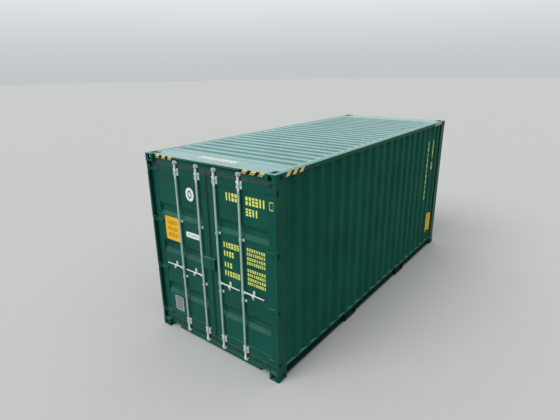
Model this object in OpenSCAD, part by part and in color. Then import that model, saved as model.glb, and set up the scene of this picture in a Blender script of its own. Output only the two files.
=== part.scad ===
// Twenty foot high cube dry freight container, closed, with two hinged doors.
// X runs along its length with the door end at -X, Y across it, Z up from the ground.
// Seen from outside the door end, the left door is at +Y and the right door at -Y.

/* [Overall] */
// Length over the corner fittings
length = 6058; // [5600:1:6500]
// Width over the corner fittings
width = 2438; // [2338:1:2538]
// Height over the corner fittings
height = 2896; // [2591:1:2946]

/* [Corner fittings] */
// Fitting along the container
fit_x = 178; // [170:1:186]
// Fitting across the container
fit_y = 162; // [154:1:170]
// Fitting height
fit_z = 118; // [112:1:124]
// Thickness of the plate with the slot
fit_plate = 28; // [26:0.5:30]
// Thickness of the other five faces
fit_wall = 16; // [12:0.5:20]
// Slot length, along the container
slot_l = 124; // [116:0.5:128]
// Slot width
slot_w = 63.5; // [60:0.5:66]
// Distance between slot centres along the container, subtracted from the length
slot_in_x = 205; // [200:1:212]
// Distance between slot centres across, subtracted from the width
slot_in_y = 179; // [170:1:186]
// Long side of the holes in the side and end faces
face_hole_l = 79.5; // [74:0.5:84]
// Short side of those holes
face_hole_w = 63.5; // [56:0.5:66]
// Radius of the fitting's outer edges
fit_r = 10; // [2:0.5:12]

/* [Posts] */
// How far post fronts lie behind the end plane
end_inset = 3; // [2:0.5:8]
// How far post sides lie inside the side plane
side_inset = 4; // [3:0.5:8]
// Outer sheet of the posts
sheet_t = 6; // [4:0.5:8]
// Width of the post's front flange beside the door
post_flange = 40; // [30:1:46]
// Thickness of the door post's inner channel
channel_t = 12; // [8:0.5:14]
// Depth of that channel along the container
channel_d = 113; // [104:0.5:114]
// Width of that channel
channel_w = 41; // [38:0.5:44]
// Width of the closed-end post on the end face
end_leg = 125; // [110:1:150]
// Outer bend radius of the posts
post_r = 9; // [7:0.5:12]

/* [Rails] */
// Height of the fitting tops over the roof
roof_inset = 6; // [4:0.5:10]
// How far rails lie inside the side plane
rail_inset = 6; // [5:0.5:10]
// Square top side rail
top_rail = 60; // [50:1:80]
// Wall of the square rails
top_rail_t = 3; // [2:0.5:5]
// Height of the bottom side rail
low_rail_h = 158; // [140:1:164]
// Gap from the ground to the bottom side rail
low_rail_z = 28; // [20:1:40]
// Top flange of the bottom side rail
low_rail_top = 48; // [44:1:56]
// Bottom flange of the bottom side rail
low_rail_bot = 30; // [24:1:40]
// Thickness of the bottom side rail
low_rail_t = 4.5; // [3:0.5:6]
// Face of header and sill behind the end plane
sill_inset = 55; // [52:0.5:60]
// Depth of header and sill along the container
sill_d = 112; // [100:1:120]
// Sill underside above the ground
sill_z = 20; // [12.5:0.5:26]
// Sill top above the ground
sill_top = 163; // [155:1:163]
// Plate thickness of the sill
sill_t = 6; // [4:0.5:8]
// Plate thickness of the header
header_t = 4; // [3:0.5:6]
// Length of the cut-out at each end of the sill
sill_cut_l = 200; // [150:1:240]
// Height of that cut-out above the sill underside
sill_cut_h = 75; // [60:1:85]
// Depth of the closed end's header and sill
end_rail_d = 60; // [56:1:80]
// Closed-end face behind the end plane
end_face_inset = 8; // [6:0.5:12]

/* [Walls and roof] */
// Sheet thickness of walls and roof
skin_t = 2; // [1.6:0.1:3]
// Pitch of the side wall's corrugation
side_pitch = 278; // [270:1:284]
// Depth of the side wall's corrugation
side_depth = 36; // [30:0.5:40]
// Outer flat of the side wall's corrugation
side_flat = 72; // [64:1:80]
// Length of each side wall slope
side_slope = 68; // [60:1:72]
// Start of the first side slope, from the end plane
side_start = 357; // [350:1:364]
// Side wall's outer flats inside the side plane
side_wall_inset = 12; // [11:0.5:14]
// Pitch of the end wall's corrugation
end_pitch = 250; // [240:1:256]
// Depth of the end wall's corrugation
end_depth = 45.6; // [40:0.1:48]
// Outer flat of the end wall's corrugation
end_flat = 110; // [100:1:120]
// Length of each end wall slope
end_slope = 18; // [12:1:24]
// Pitch of the roof's corrugation
roof_pitch = 213; // [204:1:216]
// Depth of the roof's corrugation
roof_depth = 20; // [14:0.5:26]
// Flat between roof troughs
roof_flat = 91; // [80:1:100]
// Length of each roof slope
roof_slope = 13.5; // [10:0.5:18]
// Flat margin of the roof beside the rails
roof_margin = 50; // [40:1:80]
// Length of the flat plate at each end of the roof
roof_plate_l = 387; // [370:1:420]
// Thickness of that plate
roof_plate_t = 4; // [3:0.5:6]
// Front edge of that plate behind the end plane
roof_plate_inset = 21; // [18:0.5:30]
// Depth of the drip lip below that plate
drip_h = 20; // [10:1:26]

/* [Base] */
// Top of the floor above the ground
floor_top = 165; // [163:0.5:170]
// Floor thickness
floor_t = 28; // [24:1:30]
// Underside of the cross members above the ground
cross_z = 17; // [12.5:0.5:24]
// Flange width of a cross member
cross_w = 45; // [40:1:50]
// Sheet thickness of a cross member
cross_t = 4; // [3:0.5:6]
// Distance between cross members
cross_pitch = 290; // [280:1:300]
// Distance between the fork pockets' centres
pocket_span = 2080; // [2050:1:2100]
// Clear width of a fork pocket
pocket_w = 360; // [340:1:370]
// Plate thickness of a fork pocket
pocket_t = 6; // [4:0.5:8]
// Length of the strap under each mouth of a pocket
pocket_strap = 200; // [150:1:240]

/* [Doors] */
// Door front behind the end plane
door_inset = 56; // [55:0.5:60]
// Thickness of a door leaf
door_t = 50; // [46:1:54]
// Gap from a leaf's edge to the post's channel
edge_gap = 8; // [7:0.5:12]
// Gap from a leaf's edge to the centre plane
middle_gap = 12; // [11:0.5:16]
// Leaf bottom above the sill
leaf_bottom = 31; // [26:1:36]
// Leaf top below the header
leaf_top = 36; // [30:1:40]
// Width of the upright tubes of a leaf
stile_w = 100; // [90:1:110]
// Height of the top and bottom channels of a leaf
door_rail_h = 134; // [124:1:144]
// Wall of tubes and channels of a leaf
stile_t = 3.2; // [2.5:0.1:5]
// Panel behind the front of the leaf's frame
panel_inset = 4; // [2:0.5:8]
// Depth of a door band
band_depth = 36; // [26:1:38]
// Height of a band's floor
band_valley = 70; // [60:1:80]
// Height of each slope of a band
band_slope = 68; // [60:1:74]
// Middle of the upper band
band_top_z = 2060; // [2040:1:2090]
// Middle of the middle band, left door only
band_mid_z = 1455; // [1430:1:1480]
// Middle of the lower band
band_low_z = 743; // [710:1:780]
// Clearance of the seal's lips to what they close against
seal_gap = 5; // [5:0.5:6]
// Width of the seal's lips at the middle and at the posts
seal_lip = 3; // [2:0.5:4]
// Seal's front behind the leaf's front
seal_inset = 8; // [6:0.5:12]

/* [Hinges] */
// Hinge pin behind the end plane
pin_from_end = 18.5; // [18:0.1:19.5]
// Hinge pin inside the side plane
pin_from_side = 17; // [17:0.1:18]
// Hinge pin radius
pin_r = 8; // [6:0.5:9]
// Knuckle radius
knuckle_r = 13; // [12:0.1:13]
// Height of a knuckle
knuckle_h = 50; // [40:1:56]
// Thickness of a lug above or below a knuckle
lug_t = 13; // [10:0.5:13]
// Running gap beside and inside a knuckle
hinge_gap = 0.3; // [0.2:0.05:0.5]
// Thickness of a hinge blade
blade_t = 11; // [9:0.5:12]
// Reach of a hinge blade from the pin
blade_l = 190; // [150:1:230]
// Half width of the blade's crank at the pin
crank_r = 10; // [9:0.5:12]
// How far outside the leaf's edge the crank bends
crank_lap = 4; // [3:0.5:6]
// Height of the cut-out in the post at a hinge
notch_h = 84; // [83:0.5:90]
// Depth of that cut-out
notch_d = 55; // [52:0.5:58]
// Height of the top hinge above the ground
hinge_top_z = 2660; // [2620:1:2700]
// Height of the bottom hinge above the ground
hinge_low_z = 260; // [240:1:300]

/* [Lock bars] */
// Lock bar axis behind the end plane
bar_inset = 29; // [29:0.5:30]
// Lock bar radius
bar_r = 17; // [15:0.5:18]
// Inner lock bars from the centre plane
bar_inner_y = 170; // [166:1:190]
// Outer lock bars from the centre plane
bar_outer_y = 602; // [590:1:640]
// Cam radius
cam_r = 19; // [18:0.5:20]
// Cam height
cam_h = 40; // [34:1:44]
// Cam lobe's reach from the bar axis
lobe_reach = 20; // [18:0.5:21]
// Radius of the lobe's end
lobe_r = 9; // [7:0.5:10]
// Cam middle above the header's or below the sill's edge
cam_z = 28; // [26:1:34]
// Gap between a cam's lobe and its keeper
keeper_gap = 8; // [6:0.5:10]
// Keeper jaw thickness
jaw_t = 10; // [8:0.5:12]
// Keeper jaw reach from the header
jaw_reach = 28; // [24:1:32]
// Running gap of a bar in its brackets
bar_gap = 0.3; // [0.2:0.05:0.5]
// Ring radius of a bracket
ring_r = 23; // [22:0.5:23.5]
// Width of the neck between a ring and its base plate
neck_w = 28; // [22:1:32]
// Thickness of a bracket's base plate
base_t = 5; // [4:0.5:6]
// Width of a bracket's base plate
base_w = 96; // [80:1:104]
// Height of the end brackets' base plates
end_base_h = 110; // [90:1:120]
// Height of the guides' base plates
guide_base_h = 44; // [36:1:50]
// Height of a bracket's ring
ring_h = 34; // [26:1:34]
// Upper guide above the ground
guide_top_z = 1940; // [1900:1:1980]
// Lower guide above the ground
guide_low_z = 1050; // [1010:1:1080]

/* [Handles] */
// Handle hub above the ground
handle_z = 1190; // [1170:1:1230]
// Handle tip from the bar axis
handle_reach = 375; // [340:1:390]
// Thickness of the handle
handle_t = 12; // [10:0.5:12]
// Height of the handle's blade at the hub
handle_h = 26; // [20:1:28]
// Height of the blade at the tip
grip_h = 16; // [14:1:20]
// Drop of the handle from hub to tip
handle_drop = 6; // [0:1:12]
// Hub radius
hub_r = 22; // [20:0.5:23]
// Hub height
hub_h = 64; // [56:1:72]
// Handle pivot from the bar axis
pivot_y = 41; // [40.5:0.5:44]
// Pivot pin radius
pivot_r = 5; // [4:0.5:6]
// Thickness of the hub's ears
ear_t = 5; // [4:0.5:5]
// Catch from the bar axis
catch_y = 180; // [160:1:200]
// Catch width
catch_w = 36; // [28:1:44]
// Top of the catch above the handle hub
catch_up = 54; // [44:1:80]
// Gap under the handle in its catch
catch_gap = 3; // [2:0.1:5]
// Gap between the handle and the hub's ears
ear_gap = 0.5; // [0.3:0.1:0.8]
// How much larger than the blade the handle's eye is, and by half of it the tip
knob = 6; // [4:0.5:7]

/* [Lock box] */
// Bottom of the box over the door gap
box_low_z = 1350; // [1330:1:1380]
// Top of that box
box_top_z = 1515; // [1490:1:1540]
// Reach of the left half from the centre plane
box_left_y = 130; // [110:1:140]
// Reach of the right half from the centre plane
box_right_y = 95; // [80:1:130]
// Front of the box in front of the doors
box_reach = 46; // [30:1:48]
// Plate thickness of the box
box_t = 4; // [3:0.5:6]

/* [Hidden] */
$fn = 48;
e = 1;

half_l = length / 2;
half_w = width / 2;
slot_x = half_l - slot_in_x / 2;
slot_y = half_w - slot_in_y / 2;
fit_in_x = half_l - fit_x;
fit_in_y = half_w - fit_y;
top_fit_z = height - fit_z;
roof_z = height - roof_inset;

post_front = -half_l + end_inset;
post_back = -fit_in_x;
post_side = half_w - side_inset;
opening_y = post_side - sheet_t - channel_w;
rail_side = half_w - rail_inset;
low_rail_up = low_rail_z + low_rail_h;
top_rail_z = roof_z - top_rail;
wall_side = half_w - side_wall_inset;
end_face = half_l - end_face_inset;
sill_face = -half_l + sill_inset;
sill_back = sill_face + sill_d;
header_top = roof_z - roof_plate_t;
leg_y = half_w - side_inset - end_leg;
floor_z = floor_top - floor_t;
rail_web_y = rail_side - low_rail_top;

door_x = -half_l + door_inset;
leaf_y0 = middle_gap;
leaf_y1 = opening_y - edge_gap;
leaf_z0 = sill_top + leaf_bottom;
leaf_z1 = top_fit_z - leaf_top;
panel_x = door_x + panel_inset;
bands_left = [band_low_z, band_mid_z, band_top_z];
bands_right = [band_low_z, band_top_z];

pin_x = -half_l + pin_from_end;
pin_y = half_w - pin_from_side;
hinge_zs = [for (k = [0:3]) hinge_low_z + k * (hinge_top_z - hinge_low_z) / 3];
bar_x = -half_l + bar_inset;
cam_low_z = sill_top - cam_z - cam_h / 2;
cam_top_z = top_fit_z + cam_z;
bar_z0 = cam_low_z - cam_h / 2;
bar_z1 = cam_top_z + cam_h / 2;
jaw_y = lobe_reach + keeper_gap;
handle_steps = 8;
ear_x = (handle_t + ear_t) / 2 + ear_gap;
tip_d = grip_h + knob / 2;
tip_y = handle_reach - tip_d / 2;

// A box between two opposite corners
module block(a, b) {
    translate(a) cube(b - a);
}

// Carries an outline drawn in Y and Z along X
module along_x(x0, x1) {
    translate([x0, 0, 0]) rotate([90, 0, 90]) linear_extrude(x1 - x0) children();
}

// Carries an outline drawn in X and Z along Y
module along_y(y0, y1) {
    translate([0, y1, 0]) rotate([90, 0, 0]) linear_extrude(y1 - y0) children();
}

// Carries an outline drawn in X and Y along Z
module along_z(z0, z1) {
    translate([0, 0, z0]) linear_extrude(z1 - z0) children();
}

// Both long sides of the container
module both_sides() {
    children();
    mirror([0, 1, 0]) children();
}

// The left side as drawn, or its mirror image on the right
module on_side(s) {
    if (s > 0) children();
    else mirror([0, 1, 0]) children();
}

// A slot with round ends, its long way along the first axis
module stadium(l, w) {
    square([l - w, w], center = true);
    for (s = [-1, 1]) translate([s * (l - w) / 2, 0]) circle(d = w);
}

// A rectangle from p to q with the corner at q rounded
module corner_rect(p, q, r) {
    d = q - p;
    translate(p) {
        square([d[0], d[1] - r]);
        square([d[0] - r, d[1]]);
        translate([d[0] - r, d[1] - r]) circle(r);
    }
}

// The outer block of one fitting at the +X +Y bottom corner, its outer edges rounded
module fitting_block() {
    intersection() {
        along_z(0, fit_z) corner_rect([fit_in_x, fit_in_y], [half_l, half_w], fit_r);
        translate([0, 0, fit_z]) mirror([0, 0, 1])
            along_x(fit_in_x, half_l) corner_rect([fit_in_y, 0], [half_w, fit_z], fit_r);
        translate([0, 0, fit_z]) mirror([0, 0, 1])
            along_y(fit_in_y, half_w) corner_rect([fit_in_x, 0], [half_l, fit_z], fit_r);
    }
}

// One hollow fitting with its slot and its two face holes
module fitting() {
    difference() {
        fitting_block();
        block([fit_in_x + fit_wall, fit_in_y + fit_wall, fit_plate],
              [half_l - fit_wall, half_w - fit_wall, fit_z - fit_wall]);
        along_z(-e, fit_plate + e) translate([slot_x, slot_y]) stadium(slot_l, slot_w);
        along_x(half_l - fit_wall - e, half_l + e)
            translate([slot_y, fit_z / 2]) rotate(90) stadium(face_hole_l, face_hole_w);
        along_y(half_w - fit_wall - e, half_w + e)
            translate([slot_x, fit_z / 2]) stadium(face_hole_l, face_hole_w);
    }
}

module four_fittings() {
    both_sides() {
        fitting();
        mirror([1, 0, 0]) fitting();
    }
}

module bottom_fittings() {
    color("darkslategray") four_fittings();
}

module top_fittings() {
    color("darkslategray") translate([0, 0, height]) mirror([0, 0, 1]) four_fittings();
}

// Plan of a door post: an outer sheet round the corner and a channel inside it
module door_post_plan() {
    mirror([1, 0]) difference() {
        corner_rect([-post_back, post_side - post_flange], [-post_front, post_side], post_r);
        translate([-post_back - e, 0]) square([post_back - post_front - sheet_t + e, post_side - sheet_t]);
    }
    translate([post_back - channel_d, opening_y]) difference() {
        square([channel_d, channel_w]);
        translate([channel_t, channel_t]) square([channel_d - 2 * channel_t, channel_w]);
    }
}

// A door post, cut out round each hinge
module door_post(s) {
    on_side(s) difference() {
        along_z(fit_z, top_fit_z) door_post_plan();
        for (z = hinge_zs)
            block([post_front - e, post_side - post_flange - e, z - notch_h / 2],
                  [post_front + notch_d, post_side + e, z + notch_h / 2]);
    }
}

module door_post_left() {
    color("darkslategray") door_post(1);
}

module door_post_right() {
    color("darkslategray") door_post(-1);
}

// Plan of a closed-end post: a bent sheet with an edge turned in at each end
module closed_post_plan() {
    difference() {
        corner_rect([fit_in_x, leg_y], [half_l - end_inset, post_side], post_r);
        translate([fit_in_x + sheet_t, leg_y + sheet_t])
            square([fit_x - end_inset - 2 * sheet_t, end_leg - 2 * sheet_t]);
        translate([fit_in_x - e, leg_y - e])
            square([end_face - end_depth - skin_t - fit_in_x, opening_y - leg_y + e]);
    }
}

module closed_end_posts() {
    color("darkslategray") both_sides() along_z(fit_z, top_fit_z) closed_post_plan();
}

module door_header() {
    color("darkslategray") along_y(-fit_in_y, fit_in_y) difference() {
        translate([sill_face, top_fit_z]) square([sill_d, header_top - top_fit_z]);
        translate([sill_face + header_t, top_fit_z + header_t])
            square([sill_d - 2 * header_t, header_top - top_fit_z - 2 * header_t]);
    }
}

// A sill open to the back, with its lower edge raised beside the fittings
module door_sill() {
    cut_y = fit_in_y - sill_cut_l;
    color("darkslategray") {
        along_x(sill_face, sill_face + sill_t) {
            translate([-opening_y, fit_z]) square([2 * opening_y, sill_top - fit_z]);
            translate([-fit_in_y, sill_z + sill_cut_h])
                square([2 * fit_in_y, sill_top - sill_z - sill_cut_h]);
            translate([-cut_y, sill_z]) square([2 * cut_y, sill_top - sill_z]);
        }
        block([sill_face, -opening_y, sill_top - sill_t], [sill_back, opening_y, sill_top]);
        block([sill_face, -cut_y, sill_z], [sill_back, cut_y, sill_z + sill_t]);
    }
}

// A hollow rail across the closed end
module end_rail(z0, z1) {
    along_y(-fit_in_y, fit_in_y) difference() {
        translate([end_face - end_rail_d, z0]) square([end_rail_d, z1 - z0]);
        translate([end_face - end_rail_d + top_rail_t, z0 + top_rail_t])
            square([end_rail_d - 2 * top_rail_t, z1 - z0 - 2 * top_rail_t]);
    }
}

module closed_end_header() {
    color("darkslategray") end_rail(top_fit_z, header_top);
}

module closed_end_sill() {
    color("darkslategray") {
        end_rail(sill_z, sill_top);
        both_sides() block([end_face - end_rail_d, fit_in_y, fit_z], [end_face, leg_y, sill_top]);
    }
}

// The square rail over a side wall
module top_rail(s) {
    on_side(s) along_x(-fit_in_x, fit_in_x) translate([rail_side - top_rail, top_rail_z]) difference() {
        square(top_rail);
        translate([top_rail_t, top_rail_t]) square(top_rail - 2 * top_rail_t);
    }
}

module top_rail_left() {
    color("darkslategray") top_rail(1);
}

module top_rail_right() {
    color("darkslategray") top_rail(-1);
}

// The channel under a side wall, open outwards, cut out for the fork pockets
module low_rail(s) {
    on_side(s) difference() {
        along_x(-fit_in_x, fit_in_x) translate([rail_web_y, low_rail_z]) {
            square([low_rail_t, low_rail_h]);
            square([low_rail_bot, low_rail_t]);
            translate([0, low_rail_h - low_rail_t]) square([low_rail_top, low_rail_t]);
        }
        for (x = [-1, 1] * pocket_span / 2)
            block([x - pocket_w / 2 - pocket_t, rail_web_y - e, low_rail_z - e],
                  [x + pocket_w / 2 + pocket_t, rail_side + e, floor_z]);
    }
}

module bottom_rail_left() {
    color("darkslategray") low_rail(1);
}

module bottom_rail_right() {
    color("darkslategray") low_rail(-1);
}

// Corners of one trapezoid wave from x on: up a slope, along a flat and down again
function wave(x, slope, flat, low, high) =
    [[x, low], [x + slope, high], [x + slope + flat, high], [x + 2 * slope + flat, low]];

// A corrugated section between x0 and x1 as thick as t, its waves starting at the places in xs
module corrugated(x0, x1, xs, slope, flat, low, high, t) {
    line = concat([[x0, low]], [for (x = xs) each wave(x, slope, flat, low, high)], [[x1, low]]);
    back = [for (k = [len(line) - 1:-1:0]) line[k] - [0, t]];
    polygon(concat(line, back));
}

side_first = -half_l + side_start;
side_last = fit_in_x - side_flat - 2 * side_slope;
side_waves = [for (x = [side_first:side_pitch:side_last]) x];

module side_wall(s) {
    low = wall_side - side_depth;
    on_side(s) along_z(low_rail_up, top_rail_z)
        corrugated(post_back, fit_in_x, side_waves, side_slope, side_flat, low, wall_side, skin_t);
}

module side_wall_left() {
    color("seagreen") side_wall(1);
}

module side_wall_right() {
    color("seagreen") side_wall(-1);
}

end_count = floor(2 * leg_y / end_pitch);
end_first = -end_count * end_pitch / 2 + (end_pitch - end_flat) / 2 - end_slope;
end_waves = [for (k = [0:end_count - 1]) end_first + k * end_pitch];

module end_wall() {
    low = end_face - end_depth;
    color("seagreen") along_z(sill_top, top_fit_z) rotate(-90) mirror([1, 0])
        corrugated(-leg_y, leg_y, end_waves, end_slope, end_flat, low, end_face, skin_t);
}

roof_end_x = fit_in_x - roof_plate_l + fit_x;
roof_y = rail_side - top_rail;
trough_w = roof_pitch - roof_flat;
trough_count = floor((2 * roof_end_x - roof_flat) / roof_pitch);
trough_first = -(trough_count * roof_pitch + roof_flat) / 2 + roof_flat;
troughs = [for (k = [0:trough_count - 1]) trough_first + k * roof_pitch];

// A pressed roof: troughs across the container, closed at their ends, and a flat margin at each rail
module roof_panel() {
    valley = trough_w - 2 * roof_slope;
    low = roof_z - roof_depth;
    color("seagreen") {
        along_y(-roof_y + roof_margin, roof_y - roof_margin)
            corrugated(-roof_end_x, roof_end_x, troughs, roof_slope, valley, roof_z, low, skin_t);
        both_sides() {
            block([-roof_end_x, roof_y - roof_margin, roof_z - skin_t], [roof_end_x, roof_y, roof_z]);
            along_y(roof_y - roof_margin, roof_y - roof_margin + skin_t) for (x = troughs)
                polygon([[x, roof_z - skin_t], [x + roof_slope, low - skin_t],
                         [x + roof_slope + valley, low - skin_t], [x + trough_w, roof_z - skin_t]]);
        }
    }
}

// The flat plate over each end frame, with a drip lip over the doors
module roof_end_plates() {
    front = -half_l + roof_plate_inset;
    color("seagreen") {
        block([front, -fit_in_y, header_top], [-fit_in_x, fit_in_y, roof_z]);
        block([-fit_in_x, -roof_y, header_top], [-roof_end_x, roof_y, roof_z]);
        block([front, -fit_in_y, header_top - drip_h], [front + roof_plate_t, fit_in_y, header_top]);
        block([roof_end_x, -roof_y, header_top], [fit_in_x, roof_y, roof_z]);
        block([fit_in_x, -fit_in_y, header_top], [end_face, fit_in_y, roof_z]);
    }
}

module floor_plate() {
    color("peru") block([sill_back, -rail_web_y, floor_z], [end_face - end_rail_d, rail_web_y, floor_top]);
}

cross_count = floor((fit_in_x - cross_w) / cross_pitch);
pocket_clear = pocket_w / 2 + pocket_t + cross_w;
cross_all = [for (k = [-cross_count:cross_count]) k * cross_pitch];
cross_xs = [for (x = cross_all) if (abs(abs(x) - pocket_span / 2) > pocket_clear) x];

// Channels across the base that carry the floor
module cross_members() {
    h = floor_z - cross_z;
    color("darkslategray") for (x = cross_xs) along_y(-rail_web_y, rail_web_y) translate([x, cross_z]) {
        square([cross_t, h]);
        square([cross_w, cross_t]);
        translate([0, h - cross_t]) square([cross_w, cross_t]);
    }
}

// Two tunnels through the base, each with a strap under either mouth
module fork_pockets() {
    outer = pocket_w / 2 + pocket_t;
    color("darkslategray") for (x = [-1, 1] * pocket_span / 2) translate([x, 0, 0]) {
        along_y(-rail_side, rail_side) difference() {
            translate([-outer, cross_z]) square([2 * outer, floor_z - cross_z]);
            translate([-pocket_w / 2, cross_z - e]) square([pocket_w, floor_z - cross_z - pocket_t + e]);
        }
        both_sides()
            block([-outer, rail_side - pocket_strap, cross_z], [outer, rail_side, cross_z + pocket_t]);
    }
}

// Outline of a lug round the hinge pin, reaching back to the post's channel
module lug_plan() {
    y0 = pin_y - knuckle_r;
    translate([pin_x, pin_y]) circle(knuckle_r);
    translate([pin_x, y0]) square([post_back - channel_d - pin_x, post_side - sheet_t - y0]);
}

// Lugs above and below each knuckle, and the pin through them
module hinge_pins(s) {
    on_side(s) for (z = hinge_zs) {
        for (t = [-1, 1]) translate([0, 0, z + t * (knuckle_h / 2 + hinge_gap + lug_t / 2)])
            along_z(-lug_t / 2, lug_t / 2) lug_plan();
        translate([pin_x, pin_y, z - knuckle_h / 2 - lug_t]) cylinder(r = pin_r, h = knuckle_h + 2 * lug_t);
    }
}

module hinge_pins_left() {
    color("darkslategray") hinge_pins(1);
}

module hinge_pins_right() {
    color("darkslategray") hinge_pins(-1);
}

bar_ys = [bar_outer_y, bar_inner_y, -bar_inner_y, -bar_outer_y];

// A pair of jaws with a ledge for each cam, open to the front
module cam_keepers() {
    color("lightgray") for (y = bar_ys, t = [-1, 1]) {
        z = t > 0 ? cam_top_z : cam_low_z;
        translate([sill_face - jaw_reach, y, z]) {
            for (s = [-1, 1]) translate([0, s * (jaw_y + jaw_t / 2) - jaw_t / 2, -cam_h / 2])
                cube([jaw_reach, jaw_t, cam_h]);
            translate([0, -jaw_y - jaw_t, t > 0 ? cam_h / 2 + keeper_gap : -cam_h / 2 - keeper_gap - jaw_t])
                cube([jaw_reach, 2 * (jaw_y + jaw_t), jaw_t]);
        }
    }
}

// Places along a door's height where its panel is pressed in
function band_points(zs) = [for (z = zs) each [
    [panel_x, z - band_valley / 2 - band_slope], [panel_x + band_depth, z - band_valley / 2],
    [panel_x + band_depth, z + band_valley / 2], [panel_x, z + band_valley / 2 + band_slope]]];

// A pressed panel between the tubes of a leaf
module door_panel(s, zs) {
    z0 = leaf_z0 + door_rail_h;
    z1 = leaf_z1 - door_rail_h;
    line = concat([[panel_x, z0]], band_points(zs), [[panel_x, z1]]);
    back = [for (k = [len(line) - 1:-1:0]) line[k] + [skin_t, 0]];
    on_side(s) along_y(leaf_y0 + stile_w, leaf_y1 - stile_w) polygon(concat(line, back));
}

// Two upright tubes with a channel between them at top and bottom
module door_frame(s) {
    on_side(s) {
        for (y = [leaf_y0, leaf_y1 - stile_w]) along_z(leaf_z0, leaf_z1) translate([door_x, y]) difference() {
            square([door_t, stile_w]);
            translate([stile_t, stile_t]) square([door_t - 2 * stile_t, stile_w - 2 * stile_t]);
        }
        for (z = [leaf_z0, leaf_z1 - door_rail_h])
            along_y(leaf_y0 + stile_w, leaf_y1 - stile_w) translate([door_x, z]) difference() {
                square([door_t, door_rail_h]);
                translate([stile_t, stile_t]) square([door_t, door_rail_h - 2 * stile_t]);
            }
    }
}

// The rubber seal round a leaf's edge
module door_seal(s) {
    x0 = door_x + seal_inset;
    x1 = door_x + door_t - stile_t;
    on_side(s) along_x(x0, x1) difference() {
        translate([leaf_y0 - seal_lip - seal_gap, sill_top + seal_gap])
            square([leaf_y1 - leaf_y0 + 2 * seal_lip + seal_gap, top_fit_z - sill_top - 2 * seal_gap]);
        translate([leaf_y0, leaf_z0]) square([leaf_y1 - leaf_y0, leaf_z1 - leaf_z0]);
    }
}

// Plan of a hinge blade: a knuckle, a crank over the leaf's edge and a strap along its face
module blade_plan() {
    edge = pin_y - leaf_y1;
    face = door_x - pin_x;
    turn = atan2(edge, face);
    root = crank_r * [sin(turn), -cos(turn)];
    translate([pin_x, pin_y]) mirror([0, 1]) difference() {
        union() {
            circle(knuckle_r);
            polygon([-root, root, [face, edge - crank_lap], [face, blade_l], [face - blade_t, blade_l],
                     [face - blade_t, edge + crank_lap / 2]]);
        }
        circle(pin_r + hinge_gap);
    }
}

module hinge_blades(s) {
    on_side(s) for (z = hinge_zs) along_z(z - knuckle_h / 2, z + knuckle_h / 2) blade_plan();
}

// A base plate with a ring round the bar, its back on the face at seat
module bar_bracket(y, z, base_h, seat) {
    translate([0, y, z]) difference() {
        union() {
            block([door_x - base_t, -base_w / 2, -base_h / 2], [seat, base_w / 2, base_h / 2]);
            along_z(-ring_h / 2, ring_h / 2) {
                translate([bar_x, 0]) circle(ring_r);
                translate([bar_x, -neck_w / 2]) square([door_x - bar_x, neck_w]);
            }
        }
        translate([bar_x, 0, -base_h]) cylinder(r = bar_r + bar_gap, h = 2 * base_h);
    }
}

module bar_brackets(s) {
    on_side(s) for (y = [bar_inner_y, bar_outer_y]) {
        bar_bracket(y, leaf_z1 - door_rail_h / 2, end_base_h, door_x);
        bar_bracket(y, leaf_z0 + door_rail_h / 2, end_base_h, door_x);
        bar_bracket(y, guide_top_z, guide_base_h, panel_x);
        bar_bracket(y, guide_low_z, guide_base_h, panel_x);
    }
}

// Height of the handle's middle line at a distance from the bar axis
function handle_mid(y) = -handle_drop * pow(max(0, y - pivot_y) / (handle_reach - pivot_y), 1.5);

// Half the blade's height there, less and less from its eye to its tip
function handle_half(y) = (handle_h + (grip_h - handle_h) * (y - pivot_y) / (tip_y - pivot_y)) / 2;

// Side view of the handle's blade, between its eye and its tip
module blade_outline(y0, y1) {
    steps = [for (k = [0:handle_steps]) y0 + k * (y1 - y0) / handle_steps];
    top = [for (y = steps) [y, handle_mid(y) + handle_half(y)]];
    low = [for (k = [handle_steps:-1:0]) [steps[k], handle_mid(steps[k]) - handle_half(steps[k])]];
    polygon(concat(top, low));
}

// A disc of the handle's thickness
module handle_disc(y, z, d) {
    translate([-handle_t / 2, y, z]) rotate([0, 90, 0]) cylinder(d = d, h = handle_t);
}

// A flat handle, drawn outwards from a bar at +Y and turned to the right side where s is -1
module handle(y, s) {
    on_side(s) translate([bar_x, y, handle_z]) difference() {
        union() {
            along_x(-handle_t / 2, handle_t / 2) blade_outline(pivot_y + handle_h / 3, tip_y - grip_h / 4);
            handle_disc(pivot_y, 0, handle_h + knob);
            handle_disc(tip_y, handle_mid(tip_y), tip_d);
        }
        translate([-handle_t, pivot_y, 0]) rotate([0, 90, 0])
            cylinder(r = pivot_r + hinge_gap, h = 2 * handle_t);
    }
}

// A plate on the panel with a ledge under each handle, open to the front and the top
module handle_catches(s) {
    low = [for (y = [catch_y - catch_w / 2, catch_y + catch_w / 2]) handle_mid(y) - handle_half(y)];
    ledge = min(low) - catch_gap;
    on_side(s) for (y = [bar_inner_y, bar_outer_y]) translate([0, y + catch_y, handle_z]) {
        block([door_x - base_t, -catch_w / 2, ledge - jaw_t], [panel_x, catch_w / 2, catch_up]);
        block([bar_x - handle_t / 2, -catch_w / 2, ledge - jaw_t], [door_x - base_t, catch_w / 2, ledge]);
    }
}

// A hood on the door over its lock, open below and towards the other door
module lock_box(s, reach) {
    front = door_x - box_reach;
    on_side(s) difference() {
        block([front, leaf_y0, box_low_z], [door_x, reach, box_top_z]);
        block([front + box_t, leaf_y0 - e, box_low_z - e], [door_x + e, reach - box_t, box_top_z - box_t]);
    }
}

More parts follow.
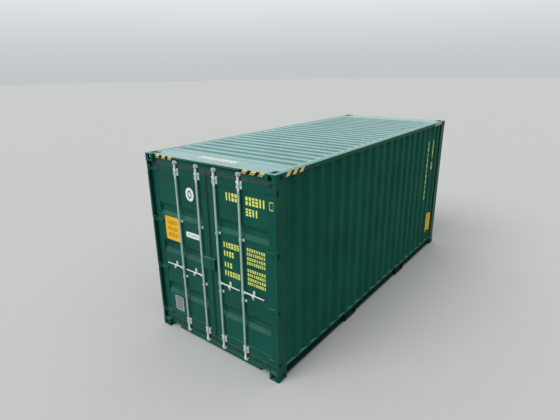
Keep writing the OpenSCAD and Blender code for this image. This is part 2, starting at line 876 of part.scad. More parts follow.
// A lock bar with a cam at each end and a forked hub for its handle
module lock_bar(y, s) {
    on_side(s) translate([bar_x, y, 0]) {
        translate([0, 0, bar_z0]) cylinder(r = bar_r, h = bar_z1 - bar_z0);
        for (z = [cam_low_z, cam_top_z]) translate([0, 0, z]) along_z(-cam_h / 2, cam_h / 2) {
            circle(cam_r);
            translate([lobe_reach - lobe_r, 0]) circle(lobe_r);
        }
        translate([0, 0, handle_z - hub_h / 2]) cylinder(r = hub_r, h = hub_h);
        for (x = [-ear_x, ear_x]) along_x(x - ear_t / 2, x + ear_t / 2) {
            translate([0, handle_z - handle_h / 2]) square([pivot_y, handle_h]);
            translate([pivot_y, handle_z]) circle(d = handle_h + knob);
        }
        translate([-handle_t / 2 - ear_t, pivot_y, handle_z]) rotate([0, 90, 0])
            cylinder(r = pivot_r, h = handle_t + 2 * ear_t);
    }
}

module door_panel_left() {
    color("seagreen") door_panel(1, bands_left);
}

module door_panel_right() {
    color("seagreen") door_panel(-1, bands_right);
}

module door_frame_left() {
    color("darkgreen") door_frame(1);
}

module door_frame_right() {
    color("darkgreen") door_frame(-1);
}

module door_seal_left() {
    color("black") door_seal(1);
}

module door_seal_right() {
    color("black") door_seal(-1);
}

module hinge_blades_left() {
    color("darkgreen") hinge_blades(1);
}

module hinge_blades_right() {
    color("darkgreen") hinge_blades(-1);
}

module bar_brackets_left() {
    color("lightgray") bar_brackets(1);
}

module bar_brackets_right() {
    color("lightgray") bar_brackets(-1);
}

module handle_catches_left() {
    color("lightgray") handle_catches(1);
}

module handle_catches_right() {
    color("lightgray") handle_catches(-1);
}

module lock_box_left() {
    color("darkgreen") lock_box(1, box_left_y);
}

module lock_box_right() {
    color("darkgreen") lock_box(-1, box_right_y);
}

bottom_fittings();
top_fittings();
door_post_left();
door_post_right();
closed_end_posts();
door_header();
door_sill();
closed_end_header();
closed_end_sill();
top_rail_left();
top_rail_right();
bottom_rail_left();
bottom_rail_right();
side_wall_left();
side_wall_right();
end_wall();
roof_panel();
roof_end_plates();
floor_plate();  // floor
cross_members();
fork_pockets();
hinge_pins_left();
hinge_pins_right();
cam_keepers();
door_panel_left();
door_frame_left();
door_seal_left();
hinge_blades_left();
bar_brackets_left();
handle_catches_left();
lock_box_left();
door_panel_right();
door_frame_right();
door_seal_right();
hinge_blades_right();
bar_brackets_right();
handle_catches_right();
lock_box_right();
color("lightgray") lock_bar(bar_outer_y, 1);  // lock_bar_left_outer
color("lightgray") lock_bar(bar_inner_y, 1);  // lock_bar_left_inner
color("lightgray") lock_bar(bar_inner_y, -1);  // lock_bar_right_inner
color("lightgray") lock_bar(bar_outer_y, -1);  // lock_bar_right_outer
color("white") handle(bar_outer_y, 1);  // handle_left_outer
color("white") handle(bar_inner_y, 1);  // handle_left_inner
color("white") handle(bar_inner_y, -1);  // handle_right_inner
color("white") handle(bar_outer_y, -1);  // handle_right_outer
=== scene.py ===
"""The looks of a twenty foot high cube container: pressed sheets, welds, fasteners, markings and finishes.

Everything is in metres, with X along the container and its door end at -X, Y across it and Z up. Seen from
outside the door end, the left door is at +Y. Every new piece is a grid of points worked out as whole arrays.
"""

from collections import namedtuple

import bmesh
import bpy
import numpy as np
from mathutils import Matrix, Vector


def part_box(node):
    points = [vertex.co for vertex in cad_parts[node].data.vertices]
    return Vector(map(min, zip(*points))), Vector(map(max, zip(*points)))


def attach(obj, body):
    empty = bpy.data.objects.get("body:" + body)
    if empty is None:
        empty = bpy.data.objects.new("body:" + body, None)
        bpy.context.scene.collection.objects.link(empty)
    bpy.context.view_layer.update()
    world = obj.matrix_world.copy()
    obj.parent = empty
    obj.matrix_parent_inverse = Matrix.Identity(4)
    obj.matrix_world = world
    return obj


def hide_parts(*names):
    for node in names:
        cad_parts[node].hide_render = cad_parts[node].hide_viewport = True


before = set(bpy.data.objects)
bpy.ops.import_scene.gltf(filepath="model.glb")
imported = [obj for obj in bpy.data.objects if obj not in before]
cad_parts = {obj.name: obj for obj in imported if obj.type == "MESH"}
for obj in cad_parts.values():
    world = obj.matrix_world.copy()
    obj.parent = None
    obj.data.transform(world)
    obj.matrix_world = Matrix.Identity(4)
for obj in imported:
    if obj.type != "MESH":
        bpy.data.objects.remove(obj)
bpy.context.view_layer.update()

# Places taken from the frame
HALF_L, HALF_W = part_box("top_fittings")[1][:2]
FIT_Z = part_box("bottom_fittings")[1][2]
TOP_FIT_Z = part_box("top_fittings")[0][2]
WALL_LOW, WALL_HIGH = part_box("side_wall_left")
END_LOW, END_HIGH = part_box("end_wall")
ROOF_LOW, ROOF_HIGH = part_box("roof_panel")
LIP_LOW, LIP_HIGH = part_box("roof_end_plates")
HEAD_LOW, HEAD_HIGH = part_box("door_header")
FLOOR_LOW, FLOOR_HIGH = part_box("floor")
LEAF_LOW, LEAF_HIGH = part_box("door_frame_left")
PANEL_LOW, PANEL_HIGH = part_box("door_panel_left")
SEAL_LOW, SEAL_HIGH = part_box("door_seal_left")
POST_LOW, POST_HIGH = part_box("door_post_left")
REAR_LOW, REAR_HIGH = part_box("closed_end_posts")
RAIL_LOW, RAIL_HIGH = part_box("top_rail_left")

SIDES = {"left": 1, "right": -1}
BARS = {"outer": 0.602, "inner": 0.170}
SHEET_T = 0.002
SHEET_ROOM = 0.0007
BEAD_OUT = 0.001

# Corrugations: the length of a slope and of an outer flat, the depth, the bend radius and the pitch
Wave = namedtuple("Wave", "slope flat depth bend pitch", defaults=[None])
SIDE_WAVE = Wave(0.068, 0.072, 0.036, 0.022, 0.278)
END_WAVE = Wave(0.018, 0.110, 0.0456, 0.014, 0.250)
ROOF_WAVE = Wave(0.0135, 0.095, 0.020, 0.008, 0.213)
SIDE_START = 0.357
ROOF_MARGIN = 0.050
ROOF_END_RAMP = 0.030

# Bands pressed into the door panels
DOOR_WAVE = Wave(0.068, 0.070, 0.036, 0.030)
BAND_ZS = {"left": (0.743, 1.455, 2.060), "right": (0.743, 2.060)}
BAND_MARGIN = 0.004
BAND_END_RAMP = 0.012
BAND_END_BEND = 0.006

# Hardware on the doors
HINGE_ZS = (0.260, 1.060, 1.860, 2.660)
HINGE_RIVET_YS = (1.125, 1.085, 1.040)
BLADE_T = 0.011
GUIDE_ZS = (1.050, 1.940)
STRAP_INSET = 0.067
BOLT_ASIDE = 0.036
BOLT_UP = 0.034
BASE_T = 0.005
HANDLE_Z = 1.190
HANDLE_REACH = 0.375
HANDLE_DROP = 0.006
HANDLE_HALF_T = 0.0059
HANDLE_ROUND = 0.0015
BLADE_H = 0.026
GRIP_H = 0.016
CATCH_Y = 0.180
BAR_X = -HALF_L + 0.029
CAP_UP = 0.012
LEDGE_Z = 1.174
LEDGE_T = 0.010
LOOP_ASIDE = 0.014
LOOP_DOWN = 0.023
EYE_Y = 0.041
EYE_X = BAR_X - 0.0115
EYE_R = 0.016
PIN_R = 0.005
KEEPER_Z = {1: TOP_FIT_Z + 0.028, -1: 0.115}
KEEPER_R = 0.033
KEEPER_RISE = 0.027
KEEPER_LEG = 0.012
KEEPER_HALF_W = 0.0049
KEEPER_HALF_T = 0.0138

# Axes of the faces that shapes are put on: along, up and out
ON_DOOR = np.array([[0, -1, 0], [0, 0, 1], [-1, 0, 0]], float)
ON_END = np.array([[0, 1, 0], [0, 0, 1], [1, 0, 0]], float)
ON_LEFT = np.array([[-1, 0, 0], [0, 0, 1], [0, 1, 0]], float)
ON_RIGHT = np.array([[1, 0, 0], [0, 0, 1], [0, -1, 0]], float)
ON_ROOF = np.eye(3)
UP = np.array([0.0, 0.0, 1.0])
SQUARE = np.array([[-1, -1], [1, -1], [1, 1], [-1, 1]], float)


def grid(*coordinates):
    """Points from their coordinates, each spread to the shape that all of them share."""
    return np.stack(np.broadcast_arrays(*coordinates), -1)


def grid_faces(rows, cols, around=False, closed=False):
    """Quads over a grid of points. around joins its last column to its first, closed its last row to its first."""
    r = np.arange(rows if closed else rows - 1)[:, None]
    c = np.arange(cols if around else cols - 1)[None, :]
    below = ((r + 1) % rows) * cols
    beside = (c + 1) % cols
    return np.stack([r * cols + c, r * cols + beside, below + beside, below + c], -1).reshape(-1, 4)


def shell(front, back):
    """A closed plate between two grids of points, joined to each other round their four edges."""
    rows, cols = front.shape[:2]
    index = np.arange(rows * cols).reshape(rows, cols)
    rim = np.concatenate([index[0], index[1:, -1], index[-1, -2::-1], index[-2:0:-1, 0]])
    after = np.roll(rim, -1)
    skin = grid_faces(rows, cols)
    edge = np.stack([rim, after, after + rows * cols, rim + rows * cols], -1)
    return np.concatenate([front, back]).reshape(-1, 3), np.concatenate([skin, skin + rows * cols, edge])


def loft(rings, closed=False):
    """A skin through rings of points. Unless the rings close up, each end ring is drawn in to its own middle."""
    if not closed:
        first, last = (np.broadcast_to(r.mean(0), r.shape)[None] for r in (rings[0], rings[-1]))
        rings = np.concatenate([first, rings, last])
    return rings.reshape(-1, 3), grid_faces(*rings.shape[:2], around=True, closed=closed)


def joined(shapes):
    """Several shapes as one."""
    points = [p.reshape(-1, 3) for p, f in shapes]
    starts = np.cumsum([0] + [len(p) for p in points[:-1]])
    return np.concatenate(points), np.concatenate([f + start for (p, f), start in zip(shapes, starts)])


def stamped(shape, places, axes=ON_DOOR):
    """Copies of a shape drawn flat, one at each place, its X, Y and Z turned to three axes."""
    points, faces = shape
    places = np.asarray(places, float).reshape(-1, 3)
    many = ((points @ axes)[None] + places[:, None]).reshape(-1, 3)
    starts = np.arange(len(places))[:, None, None] * len(points)
    return many, (faces[None] + starts).reshape(-1, 4)


def piece(name, shape, finish, body="container", replaces=()):
    """Makes one piece: doubles merged, faces turned outwards, smooth below an angle of 35 degrees."""
    points, faces = shape
    mesh = bpy.data.meshes.new(name)
    mesh.vertices.add(len(points))
    mesh.vertices.foreach_set("co", points.astype(np.float32).ravel())
    mesh.loops.add(faces.size)
    mesh.loops.foreach_set("vertex_index", faces.astype(np.int32).ravel())
    mesh.polygons.add(len(faces))
    mesh.polygons.foreach_set("loop_start", np.arange(0, faces.size, 4, dtype=np.int32))
    mesh.update(calc_edges=True)
    work = bmesh.new()
    work.from_mesh(mesh)
    bmesh.ops.remove_doubles(work, verts=work.verts, dist=1e-6)
    bmesh.ops.recalc_face_normals(work, faces=work.faces)
    work.to_mesh(mesh)
    work.free()
    mesh.polygons.foreach_set("use_smooth", np.ones(len(mesh.polygons), bool))
    mesh.set_sharp_from_angle(angle=np.radians(35))
    mesh.materials.append(finish)
    made = bpy.data.objects.new(name, mesh)
    bpy.context.scene.collection.objects.link(made)
    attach(made, body)
    if replaces:
        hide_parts(*replaces)


# Lines and outlines

def bent(corners, radius, steps=5):
    """A line with its corners bent: each is the parabola between the two points that lie radius times the tangent
    of half the turn from the corner, with the corner as its control point."""
    p = np.asarray(corners, float)
    before, corner, after = p[:-2], p[1:-1], p[2:]
    u = (before - corner) / np.linalg.norm(before - corner, axis=1, keepdims=True)
    v = (after - corner) / np.linalg.norm(after - corner, axis=1, keepdims=True)
    turn = np.arccos(np.clip(-(u * v).sum(1), -1, 1))
    cut = (radius * np.tan(turn / 2))[:, None]
    t = np.linspace(0, 1, steps)[None, :, None]
    into, out = (corner + u * cut)[:, None], (corner + v * cut)[:, None]
    bends = (1 - t) ** 2 * into + 2 * t * (1 - t) * corner[:, None] + t ** 2 * out
    return np.concatenate([p[:1], bends.reshape(-1, p.shape[1]), p[-1:]])


def wave_line(start, end, wave, firsts, low=0.0):
    """A bent row of trapezoids between start and end: at each first up a slope, along a flat and down."""
    steps = np.array([0, wave.slope, wave.slope + wave.flat, 2 * wave.slope + wave.flat])
    along = (np.asarray(firsts)[:, None] + steps).ravel()
    rise = low + np.tile([0, wave.depth, wave.depth, 0], len(firsts))
    return bent(grid([start, *along, end], [low, *rise, low]), wave.bend)


def inner_flat(wave):
    """The length of the flats between the waves of a row."""
    return wave.pitch - wave.flat - 2 * wave.slope


def centred(wave, count):
    """Where each wave starts in a row of some waves about the middle."""
    return (inner_flat(wave) - count * wave.pitch) / 2 + np.arange(count) * wave.pitch


def ramped(low, high, margin, ramp, radius):
    """Places across a sheet with the share of its depth: none in the margins, all between the ramps."""
    depth = 0.02
    corners = [[low, 0], [low + margin, 0], [low + margin + ramp, depth],
               [high - margin - ramp, depth], [high - margin, 0], [high, 0]]
    line = bent(corners, radius)
    return line[:, 0], line[:, 1] / depth


def squared(points, power):
    """Points of a unit circle moved to a superellipse: each coordinate raised to the power, its sign kept."""
    return np.sign(points) * abs(points) ** power


def soft_outline(width, height, power=0.2, count=20):
    """Points round a superellipse of a width and a height."""
    a = (np.arange(count) + 0.5) * 2 * np.pi / count
    return squared(grid(np.cos(a), np.sin(a)), power) * [width / 2, height / 2]


def slab(outline, thickness, edge=0.0):
    """A flat plate from its outline, its upper edge drawn in by the edge width."""
    half = abs(outline).max(0)
    heights = [0, thickness] if edge == 0 else [0, thickness - edge, thickness]
    shares = [1] * (len(heights) - 1) + [1 - edge / half]
    return loft(np.stack([grid(*(outline * share).T, h) for h, share in zip(heights, shares)]))


def turned(profile, sides=12, flats=None, closed=False):
    """A shape turned round Z from a profile of radius and height, or a ring from a closed one. A row with flats is
    drawn in to a hexagon: the radius of the flats over the cosine of the angle from the nearest flat's middle."""
    radius, height = np.asarray(profile, float).T[..., None]
    a = np.arange(sides) * 2 * np.pi / sides
    hexagon = np.cos(np.pi / 6) / np.cos((a + np.pi / 6) % (np.pi / 3) - np.pi / 6)
    share = 0 if flats is None else np.asarray(flats, float)[:, None]
    reach = radius * (1 - share + share * hexagon)
    return loft(grid(reach * np.cos(a), reach * np.sin(a), height), closed)


def normals(line):
    """The unit normals of a line in a plane, on the left of its run."""
    ahead = np.gradient(line, axis=0)
    return grid(-ahead[:, 1], ahead[:, 0]) / np.linalg.norm(ahead, axis=1, keepdims=True)


def bead(path, up, width=0.0055, height=0.0022, ripple=0.010):
    """A weld bead: a six-sided ring carried along the path, a sixth larger at the crest of each ripple, as the
    absolute sine of the length run."""
    path = np.asarray(path, float)
    run = np.concatenate([[0], np.cumsum(np.linalg.norm(np.diff(path, axis=0), axis=1))])
    s = np.arange(0, run[-1] + ripple / 2, ripple / 2)
    middle = grid(*(np.interp(s, run, column) for column in path.T))
    ahead = np.gradient(middle, axis=0)
    ahead /= np.linalg.norm(ahead, axis=1, keepdims=True)
    across = np.cross(ahead, up)
    a = np.arange(6) * np.pi / 3
    swell = (1 + np.abs(np.sin(np.pi * s / ripple)) / 6)[:, None, None]
    ring = np.cos(a)[:, None] * across[:, None] * width / 2 + np.sin(a)[:, None] * up * height
    return loft(middle[:, None] + swell * ring)


# Fasteners, drawn on the XY plane and pointing along Z

def hex_bolt(flat_r=0.0105, head_h=0.008, washer_r=0.015, washer_t=0.0022):
    """A hexagon head with a chamfered top on a round washer."""
    profile = [[washer_r, 0], [washer_r, washer_t * 0.7], [washer_r * 0.95, washer_t], [flat_r, washer_t],
               [flat_r, washer_t + head_h * 0.8], [flat_r * 0.86, washer_t + head_h]]
    return turned(profile, 24, [0, 0, 0, 1, 1, 0.2])


def bearing_strap(height=0.040, arch_r=0.0245, rod_up=0.022, thick=0.003):
    """A strap over a rod: two feet with an arc round the rod between them, and inside it the same line moved in along
    its normal."""
    a = np.radians(np.linspace(195, -15, 15))
    arch = grid(arch_r * np.cos(a), rod_up + arch_r * np.sin(a))
    left = np.array([[-0.046, 0], [-0.046, 0.010], [-0.044, CAP_UP], [-0.029, CAP_UP], [-0.0255, CAP_UP + 0.0015]])
    line = np.concatenate([left, arch, left[::-1] * [-1, 1]])
    v = np.array([[-height], [height]]) / 2
    return shell(*(grid(p[:, 0], v, p[:, 1]) for p in (line, line - thick * normals(line))))


def wire_loop(radius=0.0150, wire=0.0034):
    """A ring of wire in the plane: a circle of ten points carried round a larger one."""
    a = np.arange(10) * np.pi / 5
    return turned(grid(radius + wire * np.cos(a), wire * np.sin(a)), 24, closed=True)


def dome(radius, height):
    """A round rivet head: radius times the cosine against height times the sine of a quarter turn."""
    a = np.linspace(0, np.pi / 2, 4)
    return turned(grid(radius * np.cos(a), height * np.sin(a)))


# Nodes of the finishes

def put(tree, kind, inputs=None, **settings):
    """A shader node with its settings made and its inputs given as values or as the sockets that feed them."""
    node = tree.nodes.new("ShaderNode" + kind)
    for key, value in settings.items():
        setattr(node, key, value)
    for key, value in (inputs or {}).items():
        if isinstance(value, bpy.types.NodeSocket):
            tree.links.new(value, node.inputs[key])
        else:
            node.inputs[key].default_value = value
    return node


def maths(operation, a, b=0.0):
    """One step of arithmetic on a socket's value and another value."""
    return put(a.id_data, "Math", {0: a, 1: b}, operation=operation).outputs[0]


def times(a, b):
    """The product of two values."""
    return maths("MULTIPLY", a, b)


def between(value, low, high):
    """Nought below low, one above high and a smooth step between them."""
    ends = {"Value": value, "From Min": low, "From Max": high}
    return put(value.id_data, "MapRange", ends, interpolation_type="SMOOTHSTEP").outputs["Result"]


def span(value, low, high):
    """A value from nought to one spread from low to high."""
    return put(value.id_data, "MapRange", {"Value": value, "To Min": low, "To Max": high}).outputs["Result"]


def tint(share, a, b):
    """Colour a turned into colour b by a share."""
    return put(share.id_data, "Mix", {0: share, 6: a, 7: b}, data_type="RGBA").outputs[2]


def within(value, ranges):
    """1 where a value lies in one of some ranges, else 0."""
    total = 0.0
    for low, high in ranges:
        inside = times(maths("GREATER_THAN", value, low), maths("LESS_THAN", value, high))
        total = maths("ADD", inside, total)
    return total


def noise(tree, scale, detail, stretch=(1, 1, 1)):
    """Cloudy noise over the object's own coordinates, stretched along any of them."""
    place = put(tree, "TexCoord").outputs["Object"]
    scaled = put(tree, "Mapping", {"Vector": place, "Scale": stretch}).outputs[0]
    return put(tree, "TexNoise", {"Vector": scaled, "Scale": scale, "Detail": detail}).outputs["Fac"]


def patches(tree, scale, detail, low, high, stretch=(1, 1, 1)):
    """A mask of noise: nought where the noise is below low, one where it is above high."""
    return between(noise(tree, scale, detail, stretch), low, high)


def looks_up(tree):
    """How far a face looks up, as the height of its normal."""
    return put(tree, "SeparateXYZ", {0: put(tree, "NewGeometry").outputs["Normal"]}).outputs["Z"]


def own_height(tree, coordinates="Object"):
    """The height of a point in the object's own coordinates."""
    return put(tree, "SeparateXYZ", {0: put(tree, "TexCoord").outputs[coordinates]}).outputs["Z"]


def rounded_normal(tree, radius):
    """The normal with the edges rounded over a radius."""
    return put(tree, "Bevel", {"Radius": radius}, samples=4).outputs[0]


def effect(name, inputs, output, build):
    """A node group with its named inputs and one output, which build works out from them."""
    tree = bpy.data.node_groups.new(name, "ShaderNodeTree")
    for label in inputs:
        tree.interface.new_socket(label, in_out="INPUT", socket_type="NodeSocketFloat")
    tree.interface.new_socket(output, in_out="OUTPUT", socket_type="NodeSocketFloat")
    result = build(tree, tree.nodes.new("NodeGroupInput").outputs)
    tree.links.new(result, tree.nodes.new("NodeGroupOutput").inputs[output])
    return tree


def dust_mask(tree, given):
    """Where dust lies: on faces that look up, broken into patches."""
    broken = span(patches(tree, 3.0, 5.0, 0.3, 0.75), 0.45, 1.0)
    return times(times(between(looks_up(tree), 0.15, 0.9), broken), given["Amount"])


def streak_mask(tree, given):
    """Rain streaks: noise drawn out along Z, on upright faces only."""
    upright = between(maths("ABSOLUTE", looks_up(tree)), 0.8, 0.4)
    streaks = patches(tree, 9.0, 4.0, 0.52, 0.75, (3.0, 3.0, 0.12))
    return times(times(upright, streaks), given["Amount"])


def wear_mask(tree, given):
    """Worn edges: where the normal rounded over a width turns from the true one, broken up by noise."""
    both = {0: rounded_normal(tree, given["Width"]), 1: put(tree, "NewGeometry").outputs["Normal"]}
    same = put(tree, "VectorMath", both, operation="DOT_PRODUCT").outputs["Value"]
    chips = patches(tree, 55.0, 6.0, 0.52, 0.66)
    return times(times(between(same, 0.97, 0.80), chips), given["Amount"])


def skin_height(tree, given):
    """The height of a sprayed surface in metres: fine orange peel on slow dents."""
    peel = times(noise(tree, 260.0, 1.0), 0.00005)
    return maths("ADD", peel, times(noise(tree, 3.0, 1.0), given["Dents"]))


DUST = effect("dust", ["Amount"], "Mask", dust_mask)
STREAKS = effect("streaks", ["Amount"], "Mask", streak_mask)
WEAR = effect("edge wear", ["Amount", "Width"], "Mask", wear_mask)
SKIN = effect("sprayed skin", ["Dents"], "Height", skin_height)


def use(tree, group, **values):
    """An effect placed in a finish with its own values."""
    node = tree.nodes.new("ShaderNodeGroup")
    node.node_tree = group
    for label, value in values.items():
        node.inputs[label.capitalize()].default_value = value
    return node.outputs[0]


def new_finish(name):
    """An empty material with its shader, and the shader's inputs."""
    material = bpy.data.materials.new(name)
    material.use_nodes = True
    return material, material.node_tree, material.node_tree.nodes["Principled BSDF"].inputs


def cover(shader, tone, rough, height, normal=None, specular=0.5, metal=0.0):
    """Feeds a shader its colour, its roughness and a relief in metres, and sets its two constants."""
    tree = tone.id_data
    tree.links.new(tone, shader["Base Color"])
    tree.links.new(rough, shader["Roughness"])
    relief = {"Height": height, "Distance": 1.0, "Strength": 1.0}
    if normal:
        relief["Normal"] = normal
    tree.links.new(put(tree, "Bump", relief).outputs[0], shader["Normal"])
    shader["Specular IOR Level"].default_value = specular
    shader["Metallic"].default_value = metal


def shade(colour, factor):
    """A colour made lighter or darker, with its alpha."""
    return tuple(min(1.0, c * factor) for c in colour) + (1.0,)


def shaded(share, colour, low, high):
    """A colour that goes by a share from one factor of itself to another."""
    return tint(share, shade(colour, low), shade(colour, high))


DUST_GREY = (0.30, 0.42, 0.38, 1.0)
BARE_STEEL = (0.13, 0.13, 0.12, 1.0)
# Near white for painted highlights on zinc
PAINTED_HIGHLIGHT_WHITE = (0.80, 0.86, 0.84, 1.0)


def paint(name, colour, rough=0.34, dust=0.45, streaks=0.2, wear=0.0, width=0.003, dents=0.0006, specular=0.16,
          second_tone=None, sheen_and_dust_above=2.84):
    """Sprayed paint: cloudy colour, dust on ledges, rain streaks, chips on edges, orange peel and slow dents. It may
    have a second, lighter colour on the faces above a height that look up: a painted sheen and painted light on the
    tops, with dust."""
    material, tree, shader = new_finish(name)
    clouds = patches(tree, 1.7, 4.0, 0.3, 0.7)
    tone = shaded(clouds, colour, 0.88, 1.12)
    # Faces that look up above a height take the lighter second colour: a painted sheen and painted light on the tops,
    # with dust
    if second_tone:
        high = maths("GREATER_THAN", own_height(tree), sheen_and_dust_above)
        sheen_and_dust_top = times(between(looks_up(tree), 0.3, 0.95), high)
        tone = tint(sheen_and_dust_top, tone, shaded(clouds, second_tone, 0.88, 1.12))
    streak = use(tree, STREAKS, amount=streaks)
    tone = tint(streak, tone, shade(colour, 1.7))
    dusty = use(tree, DUST, amount=dust)
    tone = tint(dusty, tone, DUST_GREY)
    if wear:
        tone = tint(use(tree, WEAR, amount=wear, width=width), tone, BARE_STEEL)
    fine = span(noise(tree, 22.0, 5.0), rough - 0.05, rough + 0.07)
    film = maths("ADD", times(dusty, 0.15), times(streak, 0.2))
    cover(shader, tone, maths("ADD", fine, film), use(tree, SKIN, dents=dents),
          rounded_normal(tree, width) if wear else None, specular)
    return material


def zinc(name, colour, rough, metal, spangle=0.09, scuffs=0.3, painted_highlight_at=()):
    """Zinc: crystals of unlike tone, dull scuffs and fine pits, and near white between the heights in
    painted_highlight_at: a painted highlight.
    """
    material, tree, shader = new_finish(name)
    place = put(tree, "TexCoord").outputs["Object"]
    crystals = put(tree, "TexVoronoi", {"Vector": place, "Scale": 150.0}).outputs["Color"]
    level = put(tree, "SeparateColor", {0: crystals}).outputs[0]
    tone = shaded(level, colour, 1 - spangle, 1 + spangle)
    rubbed = patches(tree, 14.0, 5.0, 0.5, 0.72, (1, 1, 0.3))
    tone = tint(times(rubbed, scuffs), tone, shade(colour, 0.6))
    # Near white between the listed heights: a painted highlight
    if painted_highlight_at:
        tone = tint(within(own_height(tree), painted_highlight_at), tone, PAINTED_HIGHLIGHT_WHITE)
    tone = tint(use(tree, DUST, amount=0.2), tone, DUST_GREY)
    dull = span(maths("ADD", level, rubbed), rough - 0.06, rough + 0.10)
    pits = times(noise(tree, 320.0, 2.0), 0.00006)
    cover(shader, tone, dull, pits, rounded_normal(tree, 0.0015), metal=metal)
    return material


def vinyl(name, colour):
    """Printed film: colour fading in patches, grime specks and the paint's texture through it."""
    material, tree, shader = new_finish(name)
    second_tone = patches(tree, 6.0, 4.0, 0.35, 0.75)
    specks = times(patches(tree, 70.0, 3.0, 0.66, 0.74), 0.4)
    tone = tint(specks, shaded(second_tone, colour, 1.0, 0.86), shade(colour, 0.45))
    cover(shader, tone, span(second_tone, 0.36, 0.50), use(tree, SKIN, dents=0.0), specular=0.2)
    return material


def rubber(name, colour, painted_lit_tone, painted_lit_at):
    """Matt rubber with a bloom in patches and a fine grain, lighter between the heights in painted_lit_at: a painted
    light.
    """
    material, tree, shader = new_finish(name)
    bloom = patches(tree, 11.0, 5.0, 0.4, 0.8)
    # Lighter between the listed heights: a painted light
    tone = tint(within(own_height(tree), painted_lit_at), (*colour, 1.0), (*painted_lit_tone, 1.0))
    tone = tint(times(bloom, 0.08), tone, DUST_GREY)
    tone = tint(use(tree, DUST, amount=0.2), tone, DUST_GREY)
    grain = times(noise(tree, 500.0, 2.0), 0.00008)
    cover(shader, tone, span(bloom, 0.52, 0.7), grain, specular=0.2)
    return material


def wax(name, colour):
    """Thick black underbody wax: glossy runs over dull lumps."""
    material, tree, shader = new_finish(name)
    runs = patches(tree, 8.0, 4.0, 0.4, 0.7, (1, 1, 0.4))
    lumps = times(noise(tree, 60.0, 4.0), 0.0012)
    cover(shader, shaded(runs, colour, 1.0, 1.8), span(runs, 0.3, 0.62), lumps)
    return material


def plywood(name, colour):
    """Sealed ply: grain drawn out along the boards, darker figure, scuffs and a slight relief of the grain."""
    material, tree, shader = new_finish(name)
    grain = noise(tree, 30.0, 6.0, (0.12, 2.2, 1.0))
    figure = patches(tree, 3.0, 3.0, 0.35, 0.7, (0.25, 1.6, 1.0))
    tone = shaded(grain, colour, 0.6, 1.35)
    tone = tint(times(figure, 0.45), tone, shade(colour, 0.55))
    scuffed = patches(tree, 12.0, 6.0, 0.56, 0.7, (0.4, 1, 1))
    tone = tint(times(scuffed, 0.35), tone, DUST_GREY)
    dull = span(maths("ADD", figure, scuffed), 0.42, 0.6)
    cover(shader, tone, dull, times(grain, 0.0003))
    return material


wall_green = paint("wall_green", (0.009, 0.098, 0.066), rough=0.42, specular=0.03)
frame_green = paint("frame_green", (0.010, 0.092, 0.064), rough=0.38, dust=0.2, wear=0.5, specular=0.05)
# Its lighter second colour on the faces that look up is a painted sheen and painted light on the tops of the top
# fittings and top rails, with dust
cap_green = paint("cap_green", (0.008, 0.087, 0.060), rough=0.38, dust=0.2, wear=0.5, specular=0.05,
                  second_tone=(0.13, 0.32, 0.29))
# Far darker than the other greens: a painted shade of the recessed bottom rails and fork pockets. Its lighter second
# colour on faces that look up above 0.15 m is painted light on the rails' upper flanges, with dust
rail_shade_green = paint("rail_shade_green", (0.001, 0.022, 0.015), rough=0.42, dust=0.15, wear=0.4, specular=0.04,
                   second_tone=(0.040, 0.25, 0.20), sheen_and_dust_above=0.15)
door_green = paint("door_green", (0.004, 0.080, 0.059), dust=0.35, specular=0.12)
leaf_green = paint("leaf_green", (0.004, 0.080, 0.059), wear=0.35, width=0.0025, specular=0.12)
cast_green = paint("cast_green", (0.005, 0.074, 0.052), rough=0.44, dust=0.3, wear=0.7, width=0.004, dents=0.0012,
                   specular=0.05)
# Its lighter second colour on the faces that look up is a painted sheen of the sky, with dust; the steep slopes of
# the troughs keep more of the dark colour, a painted shade in them
roof_green = paint("roof_green", (0.004, 0.080, 0.054), rough=0.13, dust=0.30, streaks=0.0, specular=0.7,
                   second_tone=(0.096, 0.288, 0.280))
base_black = wax("base_black", (0.012, 0.014, 0.013))
# Dark rubber, made darker and greener as a painted shade where the seal lies in the gaps, and a lighter bluish grey
# in its bands at the sill and the header: a painted light
seal_black = rubber("seal_black", (0.006, 0.040, 0.031), (0.030, 0.058, 0.064), ((0.184, 0.206), (2.715, 2.800)))
bar_zinc = zinc("bar_zinc", (0.44, 0.60, 0.53), 0.42, 0.45)
# Near white on the bars between the bottom keepers and brackets and between the top brackets and keepers: painted
# highlights
lock_zinc = zinc("lock_zinc", (0.42, 0.60, 0.52), 0.42, 0.45,
                 painted_highlight_at=((0.090, 0.330), (2.600, 2.782)))
cap_zinc = zinc("cap_zinc", (0.56, 0.66, 0.72), 0.40, 0.35)
bright_zinc = zinc("bright_zinc", (0.80, 0.86, 0.84), 0.38, 0.40, spangle=0.08, scuffs=0.2)
ply_brown = plywood("ply_brown", (0.27, 0.13, 0.06))
mark_yellow = vinyl("mark_yellow", (0.84, 0.88, 0.18))
stripe_yellow = vinyl("stripe_yellow", (0.92, 0.72, 0.24))
mark_white = vinyl("mark_white", (0.84, 0.91, 0.89))
mark_cream = vinyl("mark_cream", (0.82, 0.86, 0.62))
mark_amber = vinyl("mark_amber", (0.95, 0.55, 0.02))
amber_print = vinyl("amber_print", (0.50, 0.22, 0.02))
mark_black = vinyl("mark_black", (0.009, 0.008, 0.007))
mark_grey = vinyl("mark_grey", (0.09, 0.10, 0.11))
plate_grey = zinc("plate_grey", (0.46, 0.52, 0.50), 0.40, 0.30, spangle=0.05)


